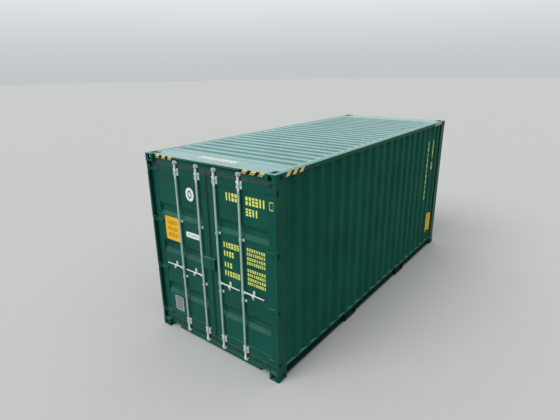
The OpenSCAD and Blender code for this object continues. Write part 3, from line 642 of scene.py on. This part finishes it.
def dress_nodes():
    """Gives each node of the frame its finish."""
    finishes = {"bottom_fittings": cast_green, "top_fittings": cap_green, "cross_members": base_black,
                "fork_pockets": rail_shade_green, "roof_end_plates": roof_green}
    paired = {"bottom_rail": rail_shade_green, "top_rail": cap_green, "door_frame": leaf_green, "hinge_blades": leaf_green,
              "lock_box": leaf_green, "bar_brackets": bar_zinc, "handle_catches": bright_zinc}
    for side in SIDES:
        finishes.update({f"{name}_{side}": finish for name, finish in paired.items()})
        finishes.update({f"lock_bar_{side}_{which}": lock_zinc for which in BARS})
    for name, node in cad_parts.items():
        node.data.materials.clear()
        node.data.materials.append(finishes.get(name, frame_green))


# Pressed sheets

def drawn(x, z, size=0.0006):
    """The slow waviness of a rolled sheet: three sines of unlike lengths, added."""
    return size * (np.sin(2.3 * x + 1.1 * z) + 0.6 * np.sin(5.1 * x - 2.7 * z) + 0.4 * np.sin(3.7 * z + 0.9)) / 2


def side_line():
    """The bent section of a side wall: distance along the container and distance from its middle plane."""
    last = WALL_HIGH[0] - SIDE_WAVE.flat - 2 * SIDE_WAVE.slope
    firsts = np.arange(-HALF_L + SIDE_START, last, SIDE_WAVE.pitch)
    return wave_line(WALL_LOW[0], WALL_HIGH[0], SIDE_WAVE, firsts, WALL_HIGH[1] - SIDE_WAVE.depth)


def standing(line, low, high, levels):
    """A bent section carried up from low to high, wavy between its two edges: its places along, out and up."""
    z = np.linspace(low, high, levels)[:, None]
    edge = np.sin(np.pi * (z - low) / (high - low))
    return line[:, 0], line[:, 1] - SHEET_ROOM + drawn(line[:, 0], z) * edge, z


def side_wall(side, s):
    """A side wall, from the bottom rail to the top rail."""
    x, y, z = standing(side_line(), WALL_LOW[2], WALL_HIGH[2], 13)
    sheet = shell(grid(x, s * y, z), grid(x, s * (y - SHEET_T), z))
    piece(f"side_sheet_{side}", sheet, wall_green, "container", [f"side_wall_{side}"])


def end_line():
    """The bent section of the closed end: distance across the container and distance along it."""
    firsts = centred(END_WAVE, int((END_HIGH[1] - END_LOW[1]) / END_WAVE.pitch))
    return wave_line(END_LOW[1], END_HIGH[1], END_WAVE, firsts, END_HIGH[0] - END_WAVE.depth)


def end_sheet():
    """The closed end, from the sill to the header."""
    y, x, z = standing(end_line(), END_LOW[2], END_HIGH[2], 11)
    sheet = shell(grid(x, y, z), grid(x - SHEET_T, y, z))
    piece("end_sheet", sheet, wall_green, "container", ["end_wall"])


def roof():
    """The pressed roof: troughs across the container with slanted ends, and a flat margin at each rail."""
    firsts = centred(ROOF_WAVE, int((2 * ROOF_HIGH[0] - inner_flat(ROOF_WAVE)) / ROOF_WAVE.pitch))
    line = wave_line(ROOF_LOW[0], ROOF_HIGH[0], ROOF_WAVE, firsts)
    y, share = ramped(ROOF_LOW[1], ROOF_HIGH[1], ROOF_MARGIN, ROOF_END_RAMP, ROOF_WAVE.bend * 2)
    x, z = line[:, :1], ROOF_HIGH[2] - line[:, 1:] * share
    sheet = shell(grid(x, y, z), grid(x, y, z - SHEET_T))
    piece("roof_sheet", sheet, roof_green, "container", ["roof_panel"])


def door_sheet(side, s):
    """A door panel: bands pressed into it along Z, each closed at both ends by a ramp."""
    firsts = np.array(BAND_ZS[side]) - DOOR_WAVE.flat / 2 - DOOR_WAVE.slope
    line = wave_line(PANEL_LOW[2], PANEL_HIGH[2], DOOR_WAVE, firsts)
    y, share = ramped(PANEL_LOW[1], PANEL_HIGH[1], BAND_MARGIN, BAND_END_RAMP, BAND_END_BEND)
    x, z = PANEL_LOW[0] + line[:, 1:] * share, line[:, :1]
    sheet = shell(grid(x, s * y, z), grid(x + SHEET_T, s * y, z))
    piece(f"door_sheet_{side}", sheet, door_green, f"door_{side}", [f"door_panel_{side}"])


# Seals, floor and welds

SEAL_LIP = np.array([[0, 0.12], [0.35, 0.12], [0.78, 0], [1, 0.05], [0.94, 0.18], [0.55, 0.32]])
SEAL_SECTION = np.concatenate([SEAL_LIP, [[0.5, 0.5]], SEAL_LIP[::-1] * [1, -1] + [0, 1]])

FLAP_SECTION = np.array([[0, 0], [0.05, 0.7], [0.18, 1], [0.42, 1], [0.5, 0.6], [0.58, 1], [0.86, 1], [1, 0.6],
                         [0.98, 0.3], [0.22, 0.3], [0.2, 0]])
FLAP_T = 0.0044

# The flap's reach out from a leaf's middle, bottom, post and top edges, and its lap over them
FLAP_REACH = np.array([0.0085, 0.028, 0.0025, 0.031])
FLAP_LAP = np.array([0.010, 0.006, 0.006, 0.016])

# The lip on the header
LIP_END = 1.050
LIP_H = 0.017
LIP_UP = 0.007
LIP_T = 0.003


def leaf_corners(middle, bottom, post, top):
    """The corners in Y and Z of a rectangle that stands out from a leaf's edges by a distance at each."""
    y = LEAF_LOW[1] - middle, LEAF_HIGH[1] + post
    z = LEAF_LOW[2] - bottom, LEAF_HIGH[2] + top
    return np.array([[y[0], z[0]], [y[1], z[0]], [y[1], z[1]], [y[0], z[1]]])


def round_leaf(s, section, inner, outer, start, end):
    """A section carried round a leaf and mitred: its first value is the share of the way from the inner corners to
    the outer ones, its second that from start to end along the container."""
    yz = inner[:, None] + section[:, :1] * (outer - inner)[:, None]
    x = start + section[:, 1] * (end - start)
    return loft(grid(x, s * yz[..., 0], yz[..., 1]), closed=True)


def door_seal(side, s):
    """A seal with two lips in the gap, a ribbed flap over the leaf's edge and a lip on the header."""
    outer = leaf_corners(LEAF_LOW[1] - SEAL_LOW[1], LEAF_LOW[2] - SEAL_LOW[2], SEAL_HIGH[1] - LEAF_HIGH[1],
                         SEAL_HIGH[2] - LEAF_HIGH[2])
    lips = round_leaf(s, SEAL_SECTION, leaf_corners(0, 0, 0, 0), outer, SEAL_LOW[0], SEAL_HIGH[0])
    flap = round_leaf(s, FLAP_SECTION, leaf_corners(*-FLAP_LAP), leaf_corners(*FLAP_REACH), LEAF_LOW[0],
                      LEAF_LOW[0] - FLAP_T)
    start = LEAF_LOW[1] - FLAP_REACH[0]
    places = [HEAD_LOW[0] - 0.0004, s * (start + LIP_END) / 2, HEAD_LOW[2] + LIP_UP - LIP_H / 2]
    lip = stamped(slab(SQUARE * [(LIP_END - start) / 2, LIP_H / 2], LIP_T, 0.0012), places)
    piece(f"seal_lips_{side}", joined([lips, flap, lip]), seal_black, f"door_{side}",
          [f"door_seal_{side}"])


BOARD_COUNT = 5
BOARD_GAP = 0.003
SCREW_PITCH = 0.290
SCREW_SPAN = 1.08
POST_FACE_W = 0.044
REAR_FACE_W = 0.129


def floor_boards():
    """The floor: ply boards in two rows with chamfered edges, a fine gap between them and rows of screws."""
    xs = np.linspace(FLOOR_LOW[0], FLOOR_HIGH[0], BOARD_COUNT + 1)
    ys = np.linspace(FLOOR_LOW[1], FLOOR_HIGH[1], 3)
    size = np.array([xs[1] - xs[0], ys[1] - ys[0]]) - BOARD_GAP
    places = [[(a + b) / 2, (c + d) / 2, FLOOR_LOW[2]] for a, b in zip(xs, xs[1:]) for c, d in zip(ys, ys[1:])]
    boards = stamped(slab(SQUARE * size / 2, FLOOR_HIGH[2] - FLOOR_LOW[2], 0.0012), places, ON_ROOF)
    piece("floor_boards", boards, ply_brown, "container", ["floor"])
    rows = np.arange(-9, 10) * SCREW_PITCH
    marks = [[x, y, FLOOR_HIGH[2] - 0.0004] for x in rows for y in np.linspace(-SCREW_SPAN, SCREW_SPAN, 10)]
    head = turned([[0.0055, 0], [0.0055, 0.0006], [0.004, 0.001], [0.0015, 0.0003]], 10)
    piece("floor_screws", stamped(head, marks, ON_ROOF), bar_zinc)


def weld_beads():
    """Weld beads where the sheets, posts and fittings of the body meet."""
    line, end = side_line(), end_line()
    seams = []
    posts = ((POST_LOW[0], POST_HIGH[0], POST_HIGH[1], POST_FACE_W),
             (REAR_HIGH[0], REAR_LOW[0], REAR_HIGH[1], REAR_FACE_W))
    for s in SIDES.values():
        seams += [bead(grid(line[:, 0], s * (line[:, 1] + BEAD_OUT), z), UP) for z in (WALL_LOW[2], WALL_HIGH[2])]
        seams += [bead([[face, s * (HALF_W - wide), z], [face, s * outer, z], [inner, s * outer, z]], UP, 0.004)
                  for z in (FIT_Z, TOP_FIT_Z) for face, inner, outer, wide in posts]
    seams += [bead(grid(end[:, 1] + BEAD_OUT, end[:, 0], z), UP) for z in (END_LOW[2], END_HIGH[2])]
    piece("body_welds", joined(seams), wall_green, "container")
    x, y, z = ROOF_HIGH
    edges = [[[-x, t * y, z], [x, t * y, z]] for t in (-1, 1)] + [[[t * x, -y, z], [t * x, y, z]] for t in (-1, 1)]
    piece("roof_welds", joined([bead(edge, UP) for edge in edges]), roof_green, "container")


def sheet_seams():
    """The upright welds that join the sheets of a side wall, each in the middle of an inner flat."""
    y = WALL_HIGH[1] - SIDE_WAVE.depth + 0.0002
    seams = []
    for s in SIDES.values():
        for wave in range(4, 20, 4):
            x = -HALF_L + SIDE_START + wave * SIDE_WAVE.pitch - inner_flat(SIDE_WAVE) / 2
            path = [[x, s * y, WALL_LOW[2]], [x, s * y, WALL_HIGH[2]]]
            seams.append(bead(path, np.array([0.0, s, 0.0]), 0.006, 0.0012, 0.020))
    piece("sheet_seams", joined(seams), wall_green, "container")


def door_welds(side, s):
    """A bead round a door panel, where it meets its leaf."""
    (x, y0, z0), (_, y1, z1) = PANEL_LOW, PANEL_HIGH
    y0, y1, z0, z1 = y0 + 0.002, y1 - 0.002, z0 + 0.002, z1 - 0.002
    round_panel = [[x, s * a, b] for a, b in ((y0, z0), (y1, z0), (y1, z1), (y0, z1), (y0, z0))]
    piece(f"leaf_welds_{side}", bead(round_panel, np.array([1.0, 0, 0]), 0.006, 0.003), door_green, f"door_{side}")


def door_fasteners(side, s):
    """Straps and pads over the bars' ends, bolts on the bar brackets and rivets on the hinge blades."""
    body = f"door_{side}"
    face = LEAF_LOW[0] - BASE_T
    heights = (LEAF_HIGH[2] - STRAP_INSET, LEAF_LOW[2] + STRAP_INSET)
    spots = [[face, s * y, z] for y in BARS.values() for z in heights]
    pads = [[x, y + u * BOLT_ASIDE, z] for x, y, z in spots for u in (-1, 1)]
    pad = slab(soft_outline(0.022, 0.098), CAP_UP - 0.001, 0.002)
    bearings = joined([stamped(bearing_strap(), spots), stamped(pad, pads)])
    piece(f"bearing_straps_{side}", bearings, cap_zinc, body)
    ends = [[x - CAP_UP + 0.001, y, z + v * BOLT_UP] for x, y, z in pads for v in (-1, 1)]
    guides = [[face, s * (y + u * BOLT_ASIDE), z] for y in BARS.values() for z in GUIDE_ZS for u in (-1, 1)]
    piece(f"bracket_bolts_{side}", stamped(hex_bolt(), ends + guides), bright_zinc, body)
    studs = [[LEAF_LOW[0] - BLADE_T, s * y, z] for y in HINGE_RIVET_YS for z in HINGE_ZS]
    piece(f"blade_rivets_{side}", stamped(dome(0.008, 0.004), studs), leaf_green, body)


def catch_details(side, s):
    """On each catch two rivets, a rounded lip with its foot and a hanging ring of wire."""
    body = f"door_{side}"
    taps = [[LEAF_LOW[0] - BASE_T, s * (y + CATCH_Y + u * 0.010), HANDLE_Z + 0.050]
            for y in BARS.values() for u in (-1, 1)]
    piece(f"catch_rivets_{side}", stamped(dome(0.0045, 0.0025), taps), bar_zinc, body)
    foot = slab(soft_outline(0.036, LEDGE_T), 0.0040, 0.001)
    lip = slab(soft_outline(0.034, 0.028, 0.4), 0.0045, 0.0015)
    middles = [s * (y + CATCH_Y) for y in BARS.values()]
    lips = [stamped(shape, [BAR_X - out, y, LEDGE_Z + up])
            for y in middles for shape, out, up in ((foot, 0.0055, -LEDGE_T / 2), (lip, 0.0065, 0.004))]
    piece(f"catch_lips_{side}", joined(lips), bright_zinc, body)
    loops = [[BAR_X - 0.011, y + s * LOOP_ASIDE, LEDGE_Z - LOOP_DOWN] for y in middles]
    piece(f"catch_loops_{side}", stamped(wire_loop(), loops), bright_zinc, body)


def pivot_heads(side, s, which):
    """The rounded heads of a handle's pin, and a cheek over the front of its fork."""
    front, back = [[x, s * (BARS[which] + EYE_Y), HANDLE_Z] for x in (EYE_X, 2 * BAR_X - EYE_X)]
    turn = np.linspace(-np.pi / 2, np.pi / 2, 13)
    cheek = np.concatenate([EYE_R * grid(np.cos(turn), np.sin(turn)), [[-0.020, 0.012], [-0.020, -0.012]]])
    head = dome(0.0095, 0.005)
    heads = [stamped(head, front), stamped(head, back, ON_END), stamped(slab(cheek[::s] * [-s, 1], 0.001), front)]
    piece(f"pivot_heads_{side}_{which}", joined(heads), bright_zinc, f"lock_bar_{side}_{which}")


def forged_handle(side, s, which):
    """A forged handle: an eye round its pin and a blade of superellipse rings, whose middle line drops by the 1.5th
    power of the way along. Their half height falls evenly and ends in a quarter circle."""
    eye_y = BARS[which] + EYE_Y
    half, edge, hole_r = HANDLE_HALF_T, HANDLE_ROUND, PIN_R + 0.0006
    section = [[hole_r, -half], [EYE_R - edge, -half], [EYE_R, -half + edge], [EYE_R, half - edge],
               [EYE_R - edge, half], [hole_r, half]]
    eye = stamped(turned(section, 40, closed=True), [BAR_X, s * eye_y, HANDLE_Z])
    end_r = GRIP_H / 2 + edge
    length = HANDLE_REACH - EYE_Y - end_r
    turn = np.linspace(0, np.pi / 2, 7)[1:]
    u = np.concatenate([np.linspace(0.009, length, 26), length + end_r * np.sin(turn)])
    share = np.clip(u / length, 0, 1)
    high = (BLADE_H + (GRIP_H - BLADE_H) * share) / 2 + edge * share ** 8
    high[-len(turn):] = np.maximum(end_r * np.cos(turn), 0.0008)
    thick = half - 0.0014 * share
    thick[-len(turn):] *= np.maximum(np.cos(turn), 0.2) ** 0.5
    out, up = soft_outline(2, 2, 0.5, 16).T
    x = BAR_X + out * thick[:, None]
    z = HANDLE_Z - HANDLE_DROP * share[:, None] ** 1.5 + up * high[:, None]
    blade = loft(grid(x, s * (eye_y + u[:, None]), z))
    piece(f"forged_handle_{side}_{which}", joined([eye, blade]), bright_zinc, f"handle_{side}_{which}",
          [f"handle_{side}_{which}"])


def keeper_arches():
    """The bars' keepers: a rounded section carried up a leg, along half a superellipse of power 4 and down again."""
    a = np.linspace(np.pi, 0, 21)
    out = grid(np.cos(a), np.sin(a))[[0, *range(len(a)), -1]]
    path = squared(out, 0.5) * [KEEPER_R, KEEPER_RISE]
    path[[0, -1], 1] = -KEEPER_LEG
    aside, deep = soft_outline(2, 2, 0.4, 16).T
    yz = path[:, None] + out[:, None] * (KEEPER_HALF_W * aside)[:, None]
    x = HEAD_LOW[0] - KEEPER_HALF_T * (1 + deep)
    arches = [loft(grid(x, s * y + yz[..., 0], z + up * yz[..., 1]))
              for y in BARS.values() for s in SIDES.values() for up, z in KEEPER_Z.items()]
    piece("keeper_arches", joined(arches), bright_zinc, "container", ["cam_keepers"])


# The strip over the joint of the lock's box: across, from its left to its right edge, and how far out its faces lie
JOINT_YS = (0.0105, -0.032)
JOINT_OUT = (0.0028, 0.0003)


def lock_box_joint():
    """A bent strip on the right door over the joint of the lock's box, clear of the left half."""
    low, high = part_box("lock_box_right")
    sheets = []
    for out in JOINT_OUT:
        front = low[0] - out
        x, z = np.array([[front, low[2] + 0.002], [front, high[2] + out], [high[0] - 0.008, high[2] + out]]).T
        sheets.append(grid(x[:, None], JOINT_YS, z[:, None]))
    piece("lock_box_joint", shell(*sheets), leaf_green, "door_right")


SILL_REACH = 1.040
SILL_SHADE_Z = 0.148
SILL_EDGE_Z = 0.080


def sill_edges():
    """A dark strip along the top of the sill's face, a painted shadow under the seal, and a rolled edge along its
    foot.
    """
    # The strip has the seal's dark colour: a painted shadow under the door's seal
    strip = slab(SQUARE * [SILL_REACH, 0.014], 0.0008)
    piece("sill_shade_strip", stamped(strip, [HEAD_LOW[0], 0, SILL_SHADE_Z]), seal_black, "container")
    edge = slab(SQUARE * [SILL_REACH, 0.007], 0.010, 0.003)
    piece("sill_edge", stamped(edge, [HEAD_LOW[0], 0, SILL_EDGE_Z]), frame_green, "container")


# Markings: plain bars and dashes in the places of the real ones

FILM_T = 0.0006
MARK_SHARE = 0.82

# Yellow bars of a hazard band: their lean, and their half width and distance as shares of the band's half length
LEAN = 0.85
BAR_SHARE = 0.18
BAR_STEP = 0.65


def mark(width, height, kind):
    """One plain mark: an upright bar, two stacked blocks or three stacked dashes."""
    parts = kind % 3 + 1
    gap = height * 0.10
    tall = (height - gap * (parts - 1)) / parts
    wide = width * (0.55, 0.85, 0.95)[parts - 1]
    levels = (np.arange(parts) - (parts - 1) / 2) * (tall + gap)
    return stamped(slab(soft_outline(wide, tall, 0.25, 16), FILM_T), grid(0, levels, 0), ON_ROOF)


def mark_row(face, start, end, low, high, count, seed=0):
    """A row of marks on a face, from start to end and from low to high."""
    place, axes = face
    pitch = (end - start) / count
    level, height, width = (low + high) / 2, high - low, abs(pitch) * MARK_SHARE
    return [stamped(mark(width, height, 3 * k + k // 2 + seed), place(start + (k + 0.5) * pitch, level), axes)
            for k in range(count)]


def hazard_band(face, start, end, low, high, first=-0.62, above=0.0):
    """A black band and its three slanted yellow bars, which lean by LEAN and are cut off at its ends. For a band that
    goes on from another, above is how far the tape runs between their middle lines."""
    place, axes = face
    half_w, half_h = (end - start) / 2, (high - low) / 2
    bars = []
    for k in range(3):
        across, up = (SQUARE * [half_w * BAR_SHARE, half_h]).T
        leaning = across + (first + BAR_STEP * k) * half_w + LEAN * (up + above)
        bars.append(slab(grid(np.clip(leaning, -half_w, half_w), up), FILM_T))
    centre = place((start + end) / 2, (low + high) / 2)
    return stamped(slab(SQUARE * [half_w, half_h], FILM_T / 2), centre, axes), stamped(joined(bars), centre, axes)


def at_door(x):
    """The places and axes of marks on a plane across the door end."""
    return (lambda y, z: [x, y, z]), ON_DOOR


def at_side(y):
    """The places and axes of marks on a plane along a side."""
    return (lambda x, z: [x, y, z]), (ON_LEFT if y > 0 else ON_RIGHT)


# Rows of marks on the right door, as distances from the middle, heights and counts: three above, then four times a
# tall row with two low ones beside it
RIGHT_DOOR_ROWS = [(0.33, 0.55, 2.429, 2.539, 4), (0.68, 1.01, 2.429, 2.539, 6), (0.68, 0.89, 2.286, 2.385, 4)]
for end, low, high, count, side_low in ((0.54, 1.750, 1.830, 6, 1.800), (0.44, 1.620, 1.700, 4, 1.670),
                                        (0.40, 1.455, 1.530, 3, 1.500), (0.54, 1.325, 1.405, 6, 1.372)):
    RIGHT_DOOR_ROWS += [(0.24, end, low, high, count), (0.67, 0.99, side_low, side_low + 0.042, 8),
                        (0.67, 0.99, side_low - 0.062, side_low - 0.020, 9)]

# Middles of the labels and plates on the doors, across and up
FRAME_AT = (-1.105, 2.484)
DISC_AT = (0.367, 2.381)
LABEL_AT = (0.371, 1.758)
AMBER_AT = (0.813, 1.767)
DATA_PLATE_AT = (0.827, 0.486)
AMBER_T = 0.0012
AMBER_ROW_ZS = (1.865, 1.765, 1.665)
DATA_PLATE_T = 0.0015


def right_door_marks():
    """Rows of yellow marks, and an empty frame of the same film beside them."""
    panel = at_door(PANEL_LOW[0])
    rows = [m for k, (a, b, low, high, count) in enumerate(RIGHT_DOOR_ROWS)
            for m in mark_row(panel, -a, -b, low, high, count, k)]
    outline = soft_outline(0.066, 0.108)
    rings = [grid(*(outline * share).T, h) for share, h in ((1, 0), (1, FILM_T), (0.78, FILM_T), (0.78, 0))]
    rows.append(stamped(loft(np.stack(rings), closed=True), [LEAF_LOW[0], *FRAME_AT]))
    piece("right_door_marks", joined(rows), mark_yellow, "door_right")


def left_door_marks():
    """A disc with a ring in it, a label, an amber plate and a riveted data plate, with marks on them."""
    x = PANEL_LOW[0]
    disc = slab(soft_outline(0.166, 0.198, 0.9, 40), FILM_T)
    label = slab(soft_outline(0.286, 0.088, 0.25, 28), FILM_T)
    white = [stamped(disc, [x, *DISC_AT]), stamped(label, [x, *LABEL_AT])]
    piece("left_door_labels", joined(white), mark_white, "door_left")
    hoop, faces = turned([[0.048, 0], [0.048, FILM_T], [0.031, FILM_T], [0.031, 0]], 40, closed=True)
    print_x = x - FILM_T
    ring = stamped((hoop * [0.8, 1.25, 1.0], faces), [print_x, *DISC_AT])
    dashes = mark_row(at_door(print_x), 0.47, 0.27, 1.752, 1.764, 5)
    piece("left_door_label_print", joined([ring, *dashes]), mark_grey, "door_left")
    amber = slab(soft_outline(0.326, 0.378, 0.12, 28), AMBER_T, 0.0004)
    piece("left_door_amber_plate", stamped(amber, [x, *AMBER_AT]), mark_amber, "door_left")
    lines = [m for k, z in enumerate(AMBER_ROW_ZS)
             for m in mark_row(at_door(x - AMBER_T), 0.93, 0.70, z - 0.030, z + 0.030, 7 - k % 2, 2 * k)]
    piece("left_door_amber_print", joined(lines), amber_print, "door_left")
    plate = slab(soft_outline(0.194, 0.249, 0.1, 28), DATA_PLATE_T, 0.0005)
    piece("data_plate", stamped(plate, [x, *DATA_PLATE_AT]), plate_grey, "door_left")
    y, z = DATA_PLATE_AT
    field = slab(soft_outline(0.160, 0.018, 0.2, 12), FILM_T)
    fields = [[x - DATA_PLATE_T, y, up] for up in np.arange(0.395, 0.59, 0.032)]
    piece("data_plate_fields", stamped(field, fields), mark_grey, "door_left")
    pins = [[x - DATA_PLATE_T, y + u * 0.088, z + v * 0.115] for u in (-1, 1) for v in (-1, 1)]
    piece("data_plate_rivets", stamped(dome(0.004, 0.002), pins), bright_zinc, "door_left")


# Hazard bands: their ends on a header, their length on a rail, their lower edge on a header, the first bar's place
# over the door, and the tape on the lip there, with the share of the lip's depth that it follows
BAND_ENDS = (1.055, 0.630)
BAND_REACH = 0.43
BAND_LOW = 2.828
DOOR_BAND_FIRST = -0.76
LIP_TAPE_H = 0.023
LIP_TAPE_SHARE = 0.8


def hazard_bands():
    """Hazard bands at the ends of both headers, of the lip over the door and of the top side rails."""
    top = LIP_HIGH[2] - 0.0005
    low = top - LIP_TAPE_H
    over_lip = (top - BAND_LOW) / 2 + (HEAD_LOW[0] - LIP_LOW[0]) * LIP_TAPE_SHARE
    bands = []
    for s in SIDES.values():
        edges = sorted(s * end for end in BAND_ENDS)
        bands.append(hazard_band(at_door(HEAD_LOW[0]), *edges, BAND_LOW, low, DOOR_BAND_FIRST))
        bands.append(hazard_band(at_door(LIP_LOW[0]), *edges, low, top, DOOR_BAND_FIRST, over_lip))
        closed = ((lambda y, z: [END_HIGH[0], y, z]), ON_END)
        bands.append(hazard_band(closed, *edges, BAND_LOW - 0.003, HEAD_HIGH[2] - 0.001))
        rail = at_side(s * RAIL_HIGH[1])
        for start in (RAIL_LOW[0], RAIL_HIGH[0] - BAND_REACH):
            bands.append(hazard_band(rail, start, start + BAND_REACH, RAIL_LOW[2] + 0.001, RAIL_HIGH[2] - 0.001))
    black, yellow = zip(*bands)
    piece("hazard_ground", joined(black), mark_black)
    piece("hazard_bars", joined(yellow), stripe_yellow)


def films_on_waves(name, finish, places):
    """Films on both side walls, each the part of the bent section from start to end lifted off along its normal."""
    line = side_line()
    films = []
    for start, end, low, high in places:
        x = np.unique([start, end, *line[(line[:, 0] > start) & (line[:, 0] < end), 0]])
        path = grid(x, np.interp(x, *line.T) - 0.0003)
        for s in SIDES.values():
            out, back = (grid(px, s * py, [[low], [high]]) for px, py in
                         ((path + lift * normals(path)).T for lift in (FILM_T * 1.5, 0)))
            films.append(shell(out, back))
    piece(name, joined(films), finish)


# Marks on the body: wave, lowest mark and count of each column on a side, and films as start, end, low and high
MARK_COLUMNS = ((17, 1.336, 11), (18, 2.196, 4))
COLUMN_TOP = 2.496
MARK_DEPTH = 0.0009
AMBER_FILMS = ((2.440, 2.705, 0.426, 0.846), (2.404, 2.468, 1.990, 2.070))
WHITE_FILMS = ((2.404, 2.468, 1.906, 1.980),)


def body_marks():
    """Columns of marks on the sides, a row on the closed end and a pale row on the roof's end plate."""
    shapes = []
    first = -HALF_L + SIDE_START + SIDE_WAVE.slope + SIDE_WAVE.flat / 2
    for s in SIDES.values():
        place, axes = at_side(s * (WALL_HIGH[1] - MARK_DEPTH))
        for wave, low, count in MARK_COLUMNS:
            x = first + wave * SIDE_WAVE.pitch
            shapes += [stamped(mark(0.060, 0.088, 2 * k + wave), place(x, z), axes)
                       for k, z in enumerate(np.linspace(COLUMN_TOP, low, count))]
    for k in range(4):
        place = [END_HIGH[0] - MARK_DEPTH, (k - 3.5) * END_WAVE.pitch, 2.50]
        shapes.append(stamped(mark(0.080, 0.100, k), place, ON_END))
    piece("body_marks", joined(shapes), mark_yellow)
    films_on_waves("side_amber_panels", mark_amber, AMBER_FILMS)
    films_on_waves("side_white_patches", mark_white, WHITE_FILMS)
    roof_face = ((lambda y, x: [x, y, LIP_HIGH[2]]), np.array([[0, 1, 0], [1, 0, 0], [0, 0, 1]], float))
    pale = mark_row(roof_face, 0.31, -0.40, -2.825, -2.720, 11, 1)
    piece("roof_marks", joined(pale), mark_cream)


def seen_directly(tree):
    """1 for rays from the camera and for what mirrors and glass show, 0 for rays that only carry light."""
    rays = put(tree, "LightPath").outputs
    seen = maths("MAXIMUM", rays["Is Camera Ray"], rays["Is Glossy Ray"])
    return maths("MAXIMUM", seen, rays["Is Transmission Ray"])


def studio():
    """A pale floor, a soft sky that reflections see too, one soft lamp and the camera."""
    scene = bpy.context.scene
    scene.view_settings.view_transform = "Standard"
    scene.world = bpy.data.worlds.new("studio")
    scene.world.use_nodes = True
    tree = scene.world.node_tree
    tree.nodes.clear()
    seen = seen_directly(tree)
    height = own_height(tree, "Generated")
    backdrop = tint(between(height, -0.02, 0.25), (0.54, 0.57, 0.58, 1), (0.88, 0.94, 0.97, 1))
    plain = put(tree, "Background", {"Color": backdrop, "Strength": 1.0}).outputs[0]
    sky = tint(between(height, 0.0, 0.8), (0.50, 0.52, 0.52, 1), (0.96, 1.0, 1.0, 1))
    lit = put(tree, "Background", {"Color": sky, "Strength": 0.9}).outputs[0]
    put(tree, "OutputWorld", {"Surface": put(tree, "MixShader", {0: seen, 1: lit, 2: plain}).outputs[0]})

    floor_mesh = bpy.data.meshes.new("floor")
    a = np.arange(64) * 2 * np.pi / 64
    floor_mesh.from_pydata(grid(150 * np.cos(a), 150 * np.sin(a), 0).tolist(), [], [list(range(64))])
    ground = bpy.data.objects.new("studio_floor", floor_mesh)
    scene.collection.objects.link(ground)
    material, tree, shader = new_finish("pale_floor")
    tone = tint(seen_directly(tree), (0.22, 0.22, 0.21, 1), (0.50, 0.50, 0.49, 1))
    tree.links.new(tone, shader["Base Color"])
    shader["Roughness"].default_value = 0.9
    shader["Specular IOR Level"].default_value = 0.1
    floor_mesh.materials.append(material)

    lamp = bpy.data.lights.new("soft_lamp", "SUN")
    lamp.energy = 1.7
    lamp.angle = np.radians(40)
    lit_from = bpy.data.objects.new("soft_lamp", lamp)
    lit_from.rotation_euler = (np.radians(-12), np.radians(-44), 0)
    scene.collection.objects.link(lit_from)

    view = bpy.data.cameras.new("photo_view")
    view.lens = 27.02
    camera = bpy.data.objects.new("photo_view", view)
    camera.location = (-6.6470, -4.0869, 4.0451)
    camera.rotation_euler = (1.2441, 0.0128, -0.9148)
    scene.collection.objects.link(camera)
    scene.camera = camera


studio()
dress_nodes()
end_sheet()
roof()
floor_boards()
weld_beads()
sheet_seams()
keeper_arches()
lock_box_joint()
sill_edges()
hazard_bands()
body_marks()
for side, s in SIDES.items():
    side_wall(side, s)
    door_sheet(side, s)
    door_seal(side, s)
    door_welds(side, s)
    door_fasteners(side, s)
    catch_details(side, s)
    for which in BARS:
        pivot_heads(side, s, which)
    for which in BARS:
        forged_handle(side, s, which)
right_door_marks()
left_door_marks()
